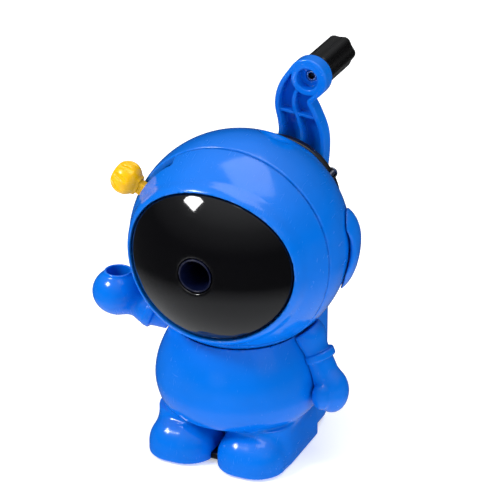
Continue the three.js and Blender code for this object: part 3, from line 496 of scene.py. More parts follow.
BLUE = moulded("gloss_blue", "#006edb", 0.15, gloss=0.45, coat=0.15)
INNER_BLUE = moulded("inner_blue", "#0a55bd", 0.34, grain=0.06, scuffs=0.2)
VISOR_BLACK = moulded(
    "visor_black", "#08080a", 0.05, gloss=0.42, mottling=0.1, wear=0.1, scuffs=0.05, coat=0.3)
BLACK = moulded("black_plastic", "#101012", 0.27, grain=0.05, scuffs=0.2)
GRIP_BLACK = moulded("grip_black", "#0a0a0b", 0.24, grain=0.035, scuffs=0.2, wear=0.4)
NAVY = moulded("navy_plastic", "#060d2c", 0.3, grain=0.04)
YELLOW = moulded("yellow_plastic", "#f4b800", 0.24, grain=0.035, mottling=0.05, scuffs=0.15)
WHITE = moulded("white_plastic", "#e3e1d8", 0.36, grain=0.04, mottling=0.03)
RUBBER = rubber("black_rubber", "#131313")
STEEL = metal("bright_steel", "#b9bcc2", 0.24, (0.2, 4, 4), 0.04)
CUTTER = metal("cutter_steel", "#8a8d94", 0.3, (4, 0.3, 4), 0.08, 0.3)
ZINC = metal("cast_zinc", "#9a9da1", 0.46, (1, 1, 1), 0.22, 0.12)
BRASS = metal("gear_brass", "#b99646", 0.34, (1, 4, 1), 0.06, 0.25)


# ---- helmet ----

def mouth(p, grow):
    """Flat distance to the visor opening's oval."""
    radii = np.array(MOUTH_HALF) + grow
    q = np.stack([p[:, 0], p[:, 2] - MOUTH_Z], 1) / radii
    near = np.linalg.norm(q, axis=1)
    return near * (near - 1) / np.maximum(np.linalg.norm(q / radii, axis=1), 1e-9)


def visor_dome(p, inset):
    return ellipsoid(p, VISOR - inset, HEAD)


def polar(radius, degrees):
    a = math.radians(degrees)
    return radius * math.cos(a), AXIS_Z + radius * math.sin(a)


def sector(p, from_angle, to_angle, inner, outer):
    """Flat distance to a slice of a ring round the pencil axis."""
    x, z = p[:, 0], p[:, 2] - AXIS_Z
    away = np.hypot(x, z)
    turn = np.degrees(np.arctan2(z, x)) - (from_angle + to_angle) / 2
    turn = (turn + 180) % 360 - 180
    side = (np.abs(turn) - (to_angle - from_angle) / 2) * math.pi / 180 * away
    return np.maximum(side, np.maximum(inner - away, away - outer))


CLAMP_POSTS = [polar(27.6, a) for a in (35, 205, 335)]
LEVER_SLOT = (LEVER_ANGLE - LEVER_TURN - 7, LEVER_ANGLE + 6)


def face_shell(p):
    y = p[:, 1]
    hollow = ball(p, HEAD_R - HEAD_WALL)
    out = np.maximum(ball(p, HEAD_R), -hollow)
    lip = soft_max(np.maximum(ball(p, HEAD_R + 0.9), -ball(p, HEAD_R - 1.2)), mouth(p, LIP_WIDTH), 1.8)
    out = soft_min(out, np.maximum(lip, y + 14), 0.7)
    out = cut(out, mouth(p, 0), 0.9)
    ledge = np.maximum(visor_dome(p, VISOR_WALL + GAP), -visor_dome(p, 2 * VISOR_WALL + GAP))
    ledge = np.maximum(np.maximum(ledge, mouth(p, 2.2)), np.maximum(-mouth(p, -2.4), y + 16.8))
    out = np.minimum(out, np.maximum(ledge, ball(p, HEAD_R - 0.4)))
    inside = np.maximum(visor_dome(p, VISOR_WALL + GAP), ball(p, HEAD_R - 0.6))
    for x, z in CLAMP_POSTS:
        post = drum_y(p, 3.2, -32, CLAMP_Y - GAP, x, z)
        out = soft_min(out, np.maximum(post, inside), 0.6)
        out = cut(out, drum_y(p, 1.3, CLAMP_Y - 4, CLAMP_Y + 2, x, z))
    slot = pull(sector(p, *LEVER_SLOT, 26, 46), y, CLAMP_Y + 2, SEAM_Y + 4, 0.4)
    out = cut(out, slot, 0.5)
    out = soft_max(out, CHIN_Z - p[:, 2], 0.3)
    return soft_max(out, y - SEAM_Y, 0.5)


def visor(p):
    out = soft_max(visor_dome(p, 0), -visor_dome(p, VISOR_WALL), 0.2)
    out = soft_max(out, mouth(p, -GAP), 0.7)
    out = np.maximum(out, p[:, 1] + 12)
    hole = np.hypot(p[:, 0], p[:, 2] - AXIS_Z) - ENTRY_R
    return cut(out, hole, 0.9)


def screw_holes(p, out, places, y0, y1, radius):
    for x, z in places:
        out = np.maximum(out, -drum_y(p, radius, y0, y1, x, z))
    return out


BULKHEAD_SCREWS = [(middle(f"bulkhead_screw_{i}")[0], middle(f"bulkhead_screw_{i}")[2]) for i in (1, 2, 3)]
COVER_SCREWS = [(middle(f"cover_screw_{i}")[0], middle(f"cover_screw_{i}")[2]) for i in (1, 2, 3)]
COVER_R = COVER_HI[0]
COVER_BACK = COVER_HI[1]
COVER_PLATE = 3.2
COVER_RIM = 2.4
COVER_FRONT = COVER_BACK - COVER_PLATE
SCOOP_AT = np.array((10.5, 14, HEAD_Z + 36.6))


def ear_peg(p, side, radius):
    return drum_x(p, radius, side * 36.2 - 3, side * 36.2 + 3, 11, HEAD_Z)


def head_shell(p):
    y = p[:, 1]
    hollow = ball(p, HEAD_R - HEAD_WALL)
    out = np.maximum(ball(p, HEAD_R), -hollow)
    ring = pull(29.5 - np.hypot(p[:, 0], p[:, 2] - HEAD_Z), y, -5.6, -2.6, 0.2)
    out = soft_min(out, np.maximum(ring, ball(p, HEAD_R - 1)), 0.5)
    boss = drum_y(p, COVER_R, 27, COVER_FRONT - GAP, edge=0.5)
    out = soft_min(out, boss, 1.2)
    out = np.minimum(out, np.maximum(ellipsoid(p, np.array((11, 9, 6)), SCOOP_AT), ball(p, HEAD_R - 1)))
    out = cut(out, ellipsoid(p, np.array((9, 7, 3.6)), SCOOP_AT), 0.7)
    out = soft_max(out, y - (COVER_FRONT - GAP), 0.4)
    out = cut(out, drum_y(p, COVER_R - COVER_RIM, 20, 60))
    out = cut(out, brick(p, -15, 15, -4, 20, 30, 52, 1.0))
    out = screw_holes(p, out, BULKHEAD_SCREWS, -9, -2, 1.1)
    out = screw_holes(p, out, COVER_SCREWS, 26, 60, 1.1)
    for side in (-1, 1):
        out = np.maximum(out, -ear_peg(p, side, 2 + GAP))
    chin = np.maximum(np.maximum(ball(p, HEAD_R), -hollow), y - REAR_SEAM_Y - 1)
    chin = soft_max(chin, p[:, 2] - CHIN_Z + CHIN_GAP, 0.3)
    return np.minimum(soft_max(out, REAR_SEAM_Y - y, 0.5), chin)


def ear_pod(side):
    at = np.array((side * 30.6, 9, POD_Z))

    def field(p):
        upper = ellipsoid(p, np.array((9.4, 11.5, 13)), at)
        lower = ellipsoid(p, np.array((9.4, 11.5, 19)), at)
        out = np.where(p[:, 2] > at[2], upper, lower)
        out = soft_max(out, -ball(p, HEAD_R + 1.5 * GAP), 0.5)
        disc = np.hypot(p[:, 1] + 6, p[:, 2] - HEAD_Z - 0.5) - 12.2
        out = cut(out, disc, 1.4)
        return np.minimum(out, ear_peg(p, side, 2))
    return field


def rear_cover(p):
    out = drum_y(p, COVER_R, COVER_FRONT, COVER_BACK, edge=0.9)
    spigot = COVER_R - COVER_RIM - GAP
    rim = np.maximum(drum_y(p, spigot, COVER_FRONT - 4, COVER_BACK - 1), -drum_y(p, spigot - 2, 0, 60))
    out = np.minimum(out, rim)
    out = np.minimum(out, drum_y(p, 8.8, COVER_FRONT - 4.5, COVER_BACK - 1))
    groove = np.abs(np.hypot(p[:, 0], p[:, 2] - AXIS_Z) - 15.5) - 0.5
    out = cut(out, np.maximum(groove, COVER_BACK - 0.5 - p[:, 1]), 0.3)
    out = cut(out, drum_y(p, 6.8, 0, 60))
    for x, z in COVER_SCREWS:
        out = cut(out, drum_y(p, 1.5, 20, 60, x, z), 0.4)
    return out


skin("helmet_face", face_shell, 0.6, "face_unit", "face_shell", BLUE)
skin("visor_lens", visor, 0.6, "face_unit", "visor", VISOR_BLACK)
skin("helmet_rear", head_shell, 0.7, "housing", "head_shell", BLUE)
skin("ear_pod_left", ear_pod(1), 0.45, "housing", "left_ear_pod", BLUE)
skin("ear_pod_right", ear_pod(-1), 0.45, "housing", "right_ear_pod", BLUE)
skin("crank_cover", rear_cover, 0.5, "housing", "rear_cover", BLACK)

# ---- body ----

TORSO_R = 29.7
TORSO = spline([
    (24.8, 14.8), (26.7, 16), (28.6, 19.4), (TORSO_R, 25), (TORSO_R - 0.6, 31),
    (TORSO_R - 2.6, 37), (TORSO_R - 5.4, 42.4), (TORSO_R - 8.6, 47), (TORSO_R - 13, 51.5),
], 60)
TORSO_SLOPE = np.gradient(TORSO[:, 0], TORSO[:, 1])
FOOT_INNER = 0.9
FOOT_OUTER = 25.3
FOOT_FRONT = box_mm("body_front_shell")[0][1]
FOOT_HEIGHT = 13.6
LEG_HEIGHT = 15.5
DRAWER_WALL = 1.8
BAY_HALF = DRAWER_HI[0] + GAP
BAY_BOTTOM = DRAWER_LO[2] - GAP
BAY_TOP = DRAWER_HI[2] + GAP
BAY_FRONT = DRAWER_LO[1] - GAP
REAR_HALF = 24
REAR_TOP = 49
BASE_SCREWS = [(middle(f"base_screw_{i}")[0], middle(f"base_screw_{i}")[1]) for i in (1, 2, 3, 4)]


def torso(p, grow=0.0):
    z = p[:, 2]
    radius = np.interp(z, TORSO[:, 1], TORSO[:, 0]) + grow
    lean = np.interp(z, TORSO[:, 1], TORSO_SLOPE)
    out = (np.hypot(p[:, 0], p[:, 1]) - radius) / np.sqrt(1 + lean**2)
    return soft_max(out, np.maximum(TORSO[0, 1] - z, z - TORSO[-1, 1]), 0.8)


def feet(p):
    out = None
    for side in (-1, 1):
        x = p[:, 0] * side
        leg = pull(rectangle(x, p[:, 1], FOOT_INNER + 0.6, FOOT_OUTER - 0.6, FOOT_FRONT + 8, 22, 9.5),
                   p[:, 2], LIFT, LEG_HEIGHT, 0.8)
        toe = pull(rectangle(x, p[:, 1], FOOT_INNER, FOOT_OUTER, FOOT_FRONT, 21, 10.4),
                   p[:, 2], -11, FOOT_HEIGHT + 0.5, 10.2)
        toe = soft_max(toe, LIFT - p[:, 2], 0.6)
        foot = soft_min(leg, toe, 2.4)
        out = foot if out is None else np.minimum(out, foot)
    return out


def face_sweep(p, radius):
    return drum_y(p, radius, -70, -6.8, z=HEAD_Z)


def arm_peg(p, side, radius):
    return drum_x(p, radius, side * 24.2 - 4.5, side * 24.2 + 4.5, 0.5, 40.2)


def body_cuts(p):
    sweep = np.maximum(face_sweep(p, HEAD_R - 0.6), CHIN_Z - p[:, 2] - CHIN_GAP)
    out = np.minimum(ball(p, HEAD_R + GAP), sweep)
    out = np.minimum(out, brick(p, -BAY_HALF, BAY_HALF, BAY_FRONT, 60, BAY_BOTTOM, BAY_TOP, 0.2))
    out = np.minimum(out, brick(p, -15.4, 15.4, -4.4, 20.4, BAY_TOP - 2, 60, 0.2))
    side, front, back = PLATE_HI[0] + GAP, PLATE_LO[1] - GAP, PLATE_HI[1] + GAP
    out = np.minimum(out, brick(p, -side, side, front, back, -5, PLATE_HI[2] + GAP, 0.2, 5))
    for x, y in BASE_SCREWS:
        out = np.minimum(out, drum_z(p, 1.3, 0, BAY_BOTTOM + 1, x, y))
    for s in (-1, 1):
        out = np.minimum(out, arm_peg(p, s, 3 + GAP))
    return out


def body_front(p):
    out = soft_min(torso(p), feet(p), 1.6)
    chest = np.maximum(torso(p, -BODY_WALL), np.maximum(p[:, 1] - 8, BAY_TOP - 8 - p[:, 2]))
    chest = np.maximum(chest, -ball(p, HEAD_R + GAP + BODY_WALL))
    out = np.maximum(out, -chest)
    out = cut(out, body_cuts(p), 0.3)
    return soft_max(out, p[:, 1] - SPLIT_Y, 0.3)


def rear_block(p):
    flat = rectangle(p[:, 0], p[:, 1], -REAR_HALF, REAR_HALF, -10.6, REAR_Y, 9.6)
    return pull(flat, p[:, 2], LIFT, REAR_TOP, 2.6)


def body_rear(p):
    out = soft_min(rear_block(p), torso(p), 1.0)
    out = cut(out, body_cuts(p), 0.4)
    return soft_max(out, REAR_SPLIT_Y - p[:, 1], 0.3)


def drawer(p):
    half, (bottom, top) = DRAWER_HI[0], (DRAWER_LO[2], DRAWER_HI[2])
    front, rear = DRAWER_LO[1], REAR_Y
    out = brick(p, -half, half, front, rear, bottom, top - 1.2, 0.4)
    out = np.minimum(out, brick(p, -half, half, rear - 2.4, rear, bottom, top, 0.5))
    side = half - DRAWER_WALL
    inner = brick(p, -side, side, front + DRAWER_WALL, rear - 2.4, bottom + DRAWER_WALL, 60, 0.8)
    out = cut(out, inner, 0.4)
    shelf = rectangle(p[:, 0], p[:, 2], -9, 9, top - 10.3, top - 6.5, 1.8)
    return soft_min(out, pull(shelf, p[:, 1], rear - 1, DRAWER_HI[1], 0.8), 0.5)


def trimmed(p, out):
    out = soft_max(out, -torso(p, GAP), 0.4)
    out = soft_max(out, -ball(p, HEAD_R + 3 * GAP), 0.6)
    return np.maximum(out, -face_sweep(p, HEAD_R - 0.6))


FIST_R = 9.3
FIST = np.array((-44.4, -5, 50))
SOCKET_R = 4.1


def raised_arm(p):
    shoulder, elbow = (-25.5, -2.6, 43.6), (-33, -4.4, 44.6)
    out = soft_min(capsule(p, shoulder, elbow, 5.4, 5.2), capsule(p, elbow, FIST, 5.0, 4.6), 1.2)
    fist = ellipsoid(p, np.array((FIST_R, FIST_R, FIST_R * 0.91)), FIST)
    out = soft_min(out, fist, 2.0)
    out = soft_min(out, band(p, (-31.6, -4, 44.4), FIST, 6.2, 3.0, 0.8), 0.5)
    top = FIST[2] + FIST_R * 0.91 - 0.5
    out = soft_min(out, drum_z(p, SOCKET_R + 0.9, FIST[2] + 4, top, FIST[0], FIST[1], 0.4), 0.8)
    out = cut(out, drum_z(p, SOCKET_R, FIST[2] - 3, FIST[2] + 20, FIST[0], FIST[1]), 0.5)
    return np.minimum(trimmed(p, out), arm_peg(p, -1, 3))


def lowered_arm(p):
    shoulder, hand = np.array((24.5, 1.6, 44)), np.array((34.6, -0.2, 25.5))
    out = capsule(p, shoulder, hand, 5.6, 5.2)
    out = soft_min(out, ellipsoid(p, np.array((6.6, 6.4, 6.8)), shoulder), 1.5)
    out = soft_min(out, band(p, (28.9, 0.9, 37.4), hand, 6.2, 2.8, 0.6), 0.5)
    mitten = soft_min(ellipsoid(p, np.array((6.2, 5.8, 8.4)), hand),
                      ellipsoid(p, np.array((3.4, 3, 5)), np.array((33, -5.2, 25))), 0.7)
    out = soft_min(out, mitten, 1.2)
    return np.minimum(trimmed(p, out), arm_peg(p, 1, 3))


def base_plate(p):
    (x, y0, top), y1 = (PLATE_HI[0], PLATE_LO[1], PLATE_HI[2]), PLATE_HI[1]
    out = brick(p, -x, x, y0, y1, PLATE_LO[2], top, 0.4, 4.7)
    side, front, back = PAD_HI[0] + GAP, PAD_LO[1] - GAP, PAD_HI[1] + GAP
    out = cut(out, brick(p, -side, side, front, back, -5, PAD_HI[2] + GAP, 0.1, 3.3), 0.2)
    for px, py in BASE_SCREWS:
        out = cut(out, drum_z(p, 3.0, -5, 2.5, px, py), 0.2)
        out = cut(out, drum_z(p, 1.5, -5, 10, px, py), 0.2)
    return out


def grip_pad(p):
    out = brick(p, PAD_LO[0], PAD_HI[0], PAD_LO[1], PAD_HI[1], 0, PAD_HI[2], 0.25, 3)
    for x, y in BASE_SCREWS:
        out = cut(out, drum_z(p, 3.6, -5, 5, x, y), 0.2)
    ribs = np.abs((p[:, 1] + 60) % 3.0 - 1.5) - 0.35
    inside = rectangle(p[:, 0], p[:, 1], PAD_LO[0] + 2, PAD_HI[0] - 2, PAD_LO[1] + 2, PAD_HI[1] - 2, 2)
    groove = np.maximum(np.maximum(ribs, inside), p[:, 2] - 0.35)
    for x, y in BASE_SCREWS:
        groove = np.maximum(groove, 4.8 - np.hypot(p[:, 0] - x, p[:, 1] - y))
    return cut(out, groove, 0.2)


skin("body_front", body_front, 0.6, "housing", "body_front_shell", BLUE)
skin("body_rear", body_rear, 0.6, "housing", "body_rear_shell", BLUE)
skin("arm_raised", raised_arm, 0.4, "housing", "raised_arm", BLUE)
skin("arm_lowered", lowered_arm, 0.4, "housing", "lowered_arm", BLUE)
skin("drawer", drawer, 0.5, "drawer", "shavings_drawer", BLUE)
skin("base", base_plate, 0.45, "housing", "base_plate", BLACK)
skin("rubber_pad", grip_pad, 0.3, "housing", "grip_pad", RUBBER)

# ---- crank ----

ARM_RUN = spline([
    (0, 0, 12.4), (3, 7, 11), (5.4, 15, 9.6), (6.2, 22, 8.7), (4.8, 28, 7.8),
    (3.1, 33, 7.1), (3.9, 38, 6.7), (GRIP_X, GRIP_Z - AXIS_Z, 7.3),
], 60)
ARM_Y0, ARM_Y1 = ARM_LO[1], ARM_HI[1]
ARM_FLOOR = ARM_Y1 - 1.8  # front face of the web between the walls
ARM_WALL = 1.7
BOSS_R = 7.3


def arm_flat(u, v, width):
    """Flat distance to the arm's outline, or with width 0 to its centre line."""
    out = np.full(len(u), 1e3)
    for x, z, w in ARM_RUN:
        out = np.minimum(out, np.hypot(u - x, v - z) - w * width)
    return out


def crank_arm(p):
    y, u, v = p[:, 1], p[:, 0], p[:, 2] - AXIS_Z
    outline = arm_flat(u, v, 1)
    from_boss = np.hypot(u - GRIP_X, v - GRIP_Z + AXIS_Z)
    from_hub = np.hypot(u, v)
    outline = np.minimum(outline, from_boss - BOSS_R)
    out = pull(outline, y, ARM_Y0, ARM_Y1, 0.7)
    hollow = np.maximum(outline + ARM_WALL, np.maximum(6 - from_boss, 6.6 - from_hub))
    hollow = soft_max(hollow, y - ARM_FLOOR, 0.6)
    out = cut(out, hollow, 0.5)
    inside = np.maximum(outline + 0.6, ARM_Y0 + 0.5 - y)
    rib = np.maximum(arm_flat(u, v, 0) - 0.65, inside)
    across = np.abs(v - 30 - (u - 2) * -0.11) - 0.55
    rib = soft_min(rib, np.maximum(np.maximum(across, ARM_Y0 + 0.9 - y), inside), 0.3)
    rib = np.maximum(np.maximum(rib, y - ARM_Y1 + 0.4), np.maximum(5.8 - from_boss, 6.4 - from_hub))
    out = soft_min(out, rib, 0.4)
    out = cut(out, np.maximum(from_boss - 3.9, y - ARM_Y0 - 4), 0.4)
    out = cut(out, from_boss - 2.0, 0.2)
    out = cut(out, np.maximum(from_hub - 4.2, y - ARM_Y0 - 2.3), 0.3)
    tenon = np.maximum(np.abs(u), np.abs(v)) - 2.9
    return cut(out, tenon, 0.1)



def crank_grip(p):
    u, v, y = p[:, 0] - GRIP_X, p[:, 2] - GRIP_Z, p[:, 1]
    away, turn = np.hypot(u, v), np.arctan2(v, u)
    swell = 0.34 * (1 - np.cos(6 * turn))
    out = pull(away - 6.15 + swell, y, GRIP_LO[1] + 1.5, GRIP_HI[1], 0.9)
    collar = pull(away - 5.95, y, GRIP_LO[1], GRIP_LO[1] + 1.9, 0.2)
    out = soft_min(out, collar, 0.15)
    return cut(out, np.maximum(away - 2.25, y - GRIP_HI[1] + 5), 0.2)


skin("crank_handle_arm", crank_arm, 0.42, "crank", "crank_arm", BLUE)
skin("handle_grip", crank_grip, 0.35, "grip", "crank_grip", GRIP_BLACK)

# ---- release lever ----

LEVER_Y = (CLAMP_Y + 2 + SEAM_Y + 0.25) / 2
KNOB_AT = 41.6
KNOB_R = 5.9


def release_lever(p):
    a = math.radians(LEVER_ANGLE)
    x, z = p[:, 0], p[:, 2] - AXIS_Z
    s = x * math.cos(a) + z * math.sin(a)
    t = -x * math.sin(a) + z * math.cos(a)
    q = np.stack([s, p[:, 1] - LEVER_Y, t], 1)
    out = pull(rectangle(q[:, 1], q[:, 2], -1.7, 1.7, -2.2, 2.2, 0.4), q[:, 0], 20.7, 38.5, 0.3)
    collar = pull(rectangle(q[:, 1], q[:, 2], -2.1, 2.1, -3.1, 3.1, 0.4), q[:, 0], 36.4, 38.4, 0.3)
    out = soft_min(out, collar, 0.2)
    away = np.hypot(q[:, 1], q[:, 2])
    neck = pull(away - 2.5, q[:, 0], 36, 40, 0.3)
    bulb = ellipsoid(q, np.array((KNOB_R * 0.9, KNOB_R, KNOB_R)), np.array((KNOB_AT, 0, 0)))
    bulb = soft_max(bulb, q[:, 0] - KNOB_AT - 4.6, 0.8)
    turn = np.arctan2(q[:, 2], q[:, 1])
    deeper = 0.75 * np.clip((q[:, 0] - KNOB_AT + 2) / 2.5, 0, 1)
    flute = deeper * np.clip(0.2 + np.cos(9 * turn) * 1.5, 0, 1)
    rimmed = np.clip((away - 3.4) / 1.0, 0, 1)
    bulb = bulb + flute * rimmed
    out = soft_min(soft_min(out, neck, 0.4), bulb, 0.8)
    return cut(out, np.maximum(away - 1.9, KNOB_AT + 3.2 - q[:, 0]), 0.4)


skin("aerial_lever", release_lever, 0.3, "clamp_cam", "release_lever", YELLOW)

# ---- turned pieces ----

guide_lo, guide_hi = box_mm("pencil_guide")
profile = [(5.9, guide_lo[1]), (5.9, -32.9), (8.4, -33.2), (8.4, -32.1), (6.6, -32.0), (6.2, guide_hi[1]),
           (4.5, guide_hi[1]), (4.5, -28.4), (5.35, guide_lo[1])]
dress(put(lathe("pencil_entry", profile, 0.25, 96), 0, 0, AXIS_Z), "face_unit",
      ["pencil_guide"], NAVY)

bush_lo, bush_hi = box_mm("shaft_bush")
profile = [(4.25, bush_lo[1]), (6.5, bush_lo[1]), (6.5, bush_hi[1] - 0.6), (7.9, bush_hi[1] - 0.6),
           (7.9, bush_hi[1]), (4.25, bush_hi[1])]
bush = put(lathe("crank_bush", profile, 0.2, 72), 0, 0, AXIS_Z)
dress(bush, "housing", ["shaft_bush"], WHITE)

for side in ("left", "right"):
    lo, hi = box_mm(f"{side}_guide_rod")
    x = (lo[0] + hi[0]) / 2
    shoulder = lo[1] + 2.1
    profile = [(0, lo[1]), (1.3, lo[1]), (1.3, shoulder), (2, shoulder), (2, hi[1]), (0, hi[1])]
    rod = lathe(f"rod_{side}", profile, 0.3)
    dress(put(rod, x, 0, AXIS_Z), "face_unit", [f"{side}_guide_rod"], STEEL)
    lo, hi = box_mm(f"{side}_rod_stop")
    profile = [(0, lo[1]), (3.6, lo[1]), (3.6, hi[1] - 0.7), (3, hi[1]), (0, hi[1])]
    stop = lathe(f"stop_{side}", profile, 0.3)
    dress(put(stop, x, 0, AXIS_Z), "face_unit", [f"{side}_rod_stop"], BLACK)

lo, hi = box_mm("grip_pin")
recess = lo[1] + 5
profile = [(0, recess), (1.2, recess), (1.2, lo[1]), (1.9, lo[1]), (1.9, hi[1]), (0, hi[1])]
pin = lathe("handle_pin", profile, 0.2, 48)
dress(put(pin, GRIP_X, 0, GRIP_Z), "crank", ["grip_pin"], STEEL)
lo, hi = box_mm("crank_washer")
washer = lathe("hub_washer", [(1.8, lo[1]), (5.4, lo[1]), (5.4, hi[1]), (1.8, hi[1])], 0.15, 64)
dress(put(washer, 0, 0, AXIS_Z), "crank", ["crank_washer"], STEEL)


# ---- springs ----

SPRING_TURNS = 7
SPRING_WIRE = 0.42
SPRING_R = 3.8


def feed_spring(side):
    """A coil round one guide rod, riding on the housing."""
    lo, hi = box_mm(f"{side}_feed_spring")
    x = (lo[0] + hi[0]) / 2
    turns, wire, radius = SPRING_TURNS, SPRING_WIRE, SPRING_R
    count, around = turns * 28, 10
    points, faces = [], []
    for i in range(count + 1):
        t = i / count
        a = 2 * math.pi * turns * t
        way = Vector((-radius * math.sin(a) * 2 * math.pi * turns, hi[1] - lo[1] - 2 * wire,
                      radius * math.cos(a) * 2 * math.pi * turns)).normalized()
        out = Vector((math.cos(a), 0, math.sin(a)))
        up = way.cross(out)
        along = lo[1] + wire + (hi[1] - lo[1] - 2 * wire) * t
        at = Vector((radius * math.cos(a), along, radius * math.sin(a)))
        for k in range(around):
            b = 2 * math.pi * k / around
            points.append(at + wire * (math.cos(b) * out + math.sin(b) * up))
    for i in range(count):
        for k in range(around):
            m = (k + 1) % around
            faces.append([i * around + k, i * around + m, (i + 1) * around + m, (i + 1) * around + k])
    faces.append(list(range(around))[::-1])
    faces.append([count * around + k for k in range(around)])
    obj = put(new_object(f"spring_{side}", points, faces, sharp=50), x, 0, AXIS_Z)
    dress(obj, "housing", [f"{side}_feed_spring"], STEEL)
    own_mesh(obj)


feed_spring("left")
feed_spring("right")


# ---- cutter ----

CUTTER_R = 5.4
CUTTER_BORE = 1.5
CUTTER_TEETH = 10
CUTTER_TOOTH = [  # share of a tooth's turn and radius: a cutting edge, its land and the flute behind it
    (0, CUTTER_R), (0.05, 5.36), (0.2, 5.16), (0.38, 4.75),
    (0.5, 4.32), (0.62, 4.24), (0.8, 4.42), (0.93, 4.95),
]


def helical_cutter():
    """A tool-steel cutter with ten hooked teeth wound about its axis."""
    joint = next(j for j in frame["record"]["behaviour"]["joints"] if j["name"] == "cutter_spin")
    way = Vector(joint["axis"]).normalized()
    origin = Vector(joint["pos_m"]) / MM
    lo, hi = box_mm("helical_cutter")
    tilt = math.asin(way.z)
    edge = CUTTER_R * math.sin(tilt)
    front = (lo[1] + edge - origin.y) / way.y
    back = (hi[1] - edge - origin.y) / way.y
    steps, twist = 40, math.radians(80)
    section = [
        ((i + s) * 2 * math.pi / CUTTER_TEETH, r)
        for i in range(CUTTER_TEETH) for s, r in CUTTER_TOOTH
    ]
    n = len(section)
    right = Vector((1, 0, 0))
    up = right.cross(way)
    points, faces = [], []
    for i in range(steps + 1):
        t = i / steps
        inset = 0.35 * max(0, 1 - min(t, 1 - t) * steps / 1.5)
        for a, r in section:
            b = a + twist * t
            out = math.cos(b) * right + math.sin(b) * up
            points.append(origin + way * (front + (back - front) * t) + (r - inset) * out)
    for end in (0, 1):
        for a, r in section:
            b = a + twist * end
            out = math.cos(b) * right + math.sin(b) * up
            points.append(origin + way * (front + (back - front) * end) + CUTTER_BORE * out)
    inner = (steps + 1) * n
    for k in range(n):
        m = (k + 1) % n
        for i in range(steps):
            faces.append([i * n + k, i * n + m, (i + 1) * n + m, (i + 1) * n + k])
        faces.append([inner + k, inner + m, m, k])
        faces.append([steps * n + k, steps * n + m, inner + n + m, inner + n + k])
        faces.append([inner + n + k, inner + n + m, inner + m, inner + k])
    obj = new_object("steel_cutter", points, faces, sharp=28)
    face_outwards(obj.data)
    dress(obj, "cutter", ["helical_cutter"], CUTTER)


helical_cutter()


# ---- screws ----

HEAD_THICKNESS = 0.55  # of the head's radius
SCREW_BODIES = {"clamp_screw": "face_unit", "crank_screw": "crank"}


def screw_mesh(name, head, length):
    """A pan-head screw with a cross recess and thread, its seat at y 0 and its head towards -Y."""
    thick = head * HEAD_THICKNESS

    def field(p):
        away = np.hypot(p[:, 0], p[:, 2])
        y = p[:, 1]
        crown = ellipsoid(p, np.array((head * 1.12, thick, head * 1.12)), np.zeros(3))
        dome = soft_max(crown, away - head, 0.2)
        out = np.maximum(dome, y)
        turn = np.arctan2(p[:, 2], p[:, 0])
        ridge = 0.1 * np.abs(((y / 0.8 - turn / (2 * math.pi)) % 1) * 2 - 1)
        shank = np.maximum(away - head * 0.45 - 0.05 + ridge, np.maximum(-y - 0.2, y + away * 0.8 - length))
        out = np.minimum(out, shank)
        u, v = np.abs(p[:, 0]), np.abs(p[:, 2])
        narrow, wide = head * 0.14, head * 0.58
        cross = np.minimum(np.maximum(u - narrow, v - wide), np.maximum(v - narrow, u - wide))
        recess = np.maximum(cross, y + thick * 0.4 + away * 0.12)
        return cut(out, recess, 0.08)

    points, normals, quads = surface(field, (-head, -thick, -head), (head, length, head), head / 13)
    return new_object(name, points, quads.tolist(), normals)


def set_screws(kind, count, head, length, rest, material):
    """Puts a screw at each of a row of CAD screws. rest turns it from facing -Y to face its own way."""
    nodes = [kind] if count == 1 else [f"{kind}_{i}" for i in range(1, count + 1)]
    first = screw_mesh("threaded_" + nodes[0], head, length)
    first.data.transform(rest.to_4x4())
    meshes = [first.data] + [first.data.copy() for _ in nodes[1:]]
    way = rest @ Vector((0, 1, 0))
    axis = max(range(3), key=lambda k: abs(way[k]))
    thick = head * HEAD_THICKNESS
    for node, mesh in zip(nodes, meshes):
        obj = first
        if node != nodes[0]:
            obj = bpy.data.objects.new("threaded_" + node, mesh)
            bpy.context.scene.collection.objects.link(obj)
        lo, hi = box_mm(node)
        seat = Vector((lo + hi) / 2)
        seat[axis] = lo[axis] + thick if way[axis] > 0 else hi[axis] - thick
        mesh.transform(Matrix.Translation(seat * MM))
        dress(obj, SCREW_BODIES.get(kind, "housing"), [node], material)


FORWARD = Matrix.Identity(3)
BACKWARD = Matrix.Rotation(math.pi, 3, "Z")
UPWARD = Matrix.Rotation(math.pi / 2, 3, "X")
set_screws("bulkhead_screw", 3, 2.2, 4.6, FORWARD, STEEL)
set_screws("cover_screw", 3, 2.0, 6.0, BACKWARD, STEEL)
set_screws("clamp_screw", 3, 2.2, 4.2, BACKWARD, STEEL)
set_screws("base_screw", 4, 2.2, 4.1, UPWARD, STEEL)
set_screws("crank_screw", 1, 3.2, 4.5, BACKWARD, STEEL)

# ---- CAD nodes that stay, with their edges rounded and their own materials ----

KEPT = {
    "head_bulkhead": (INNER_BLUE, 0.25), "clamp_plate": (INNER_BLUE, 0.25), "ring_gear": (WHITE, 0.12),
    "cam_ring": (WHITE, 0.2), "clamp_jaw_1": (BLACK, 0.25), "clamp_jaw_2": (BLACK, 0.25),
    "clamp_jaw_3": (BLACK, 0.25), "cutter_carrier": (ZINC, 0.3), "cutter_axle": (STEEL, 0.15),
    "cutter_pinion": (BRASS, 0.1),
}
for name, (material, width) in KEPT.items():
    node = frame["nodes"][name]
    for slot in node.material_slots:
        slot.material = material
    bevel = node.modifiers.new("edges", "BEVEL")
    bevel.width = width * MM
    bevel.segments = 2
    bevel.limit_method = "ANGLE"
    bevel.angle_limit = math.radians(35)

# ---- stage, light and camera ----

TARGET = Vector((1.2, 5.8, 69.9)) * MM
BACK = Vector((0.3662, -0.8225, 0.4352))


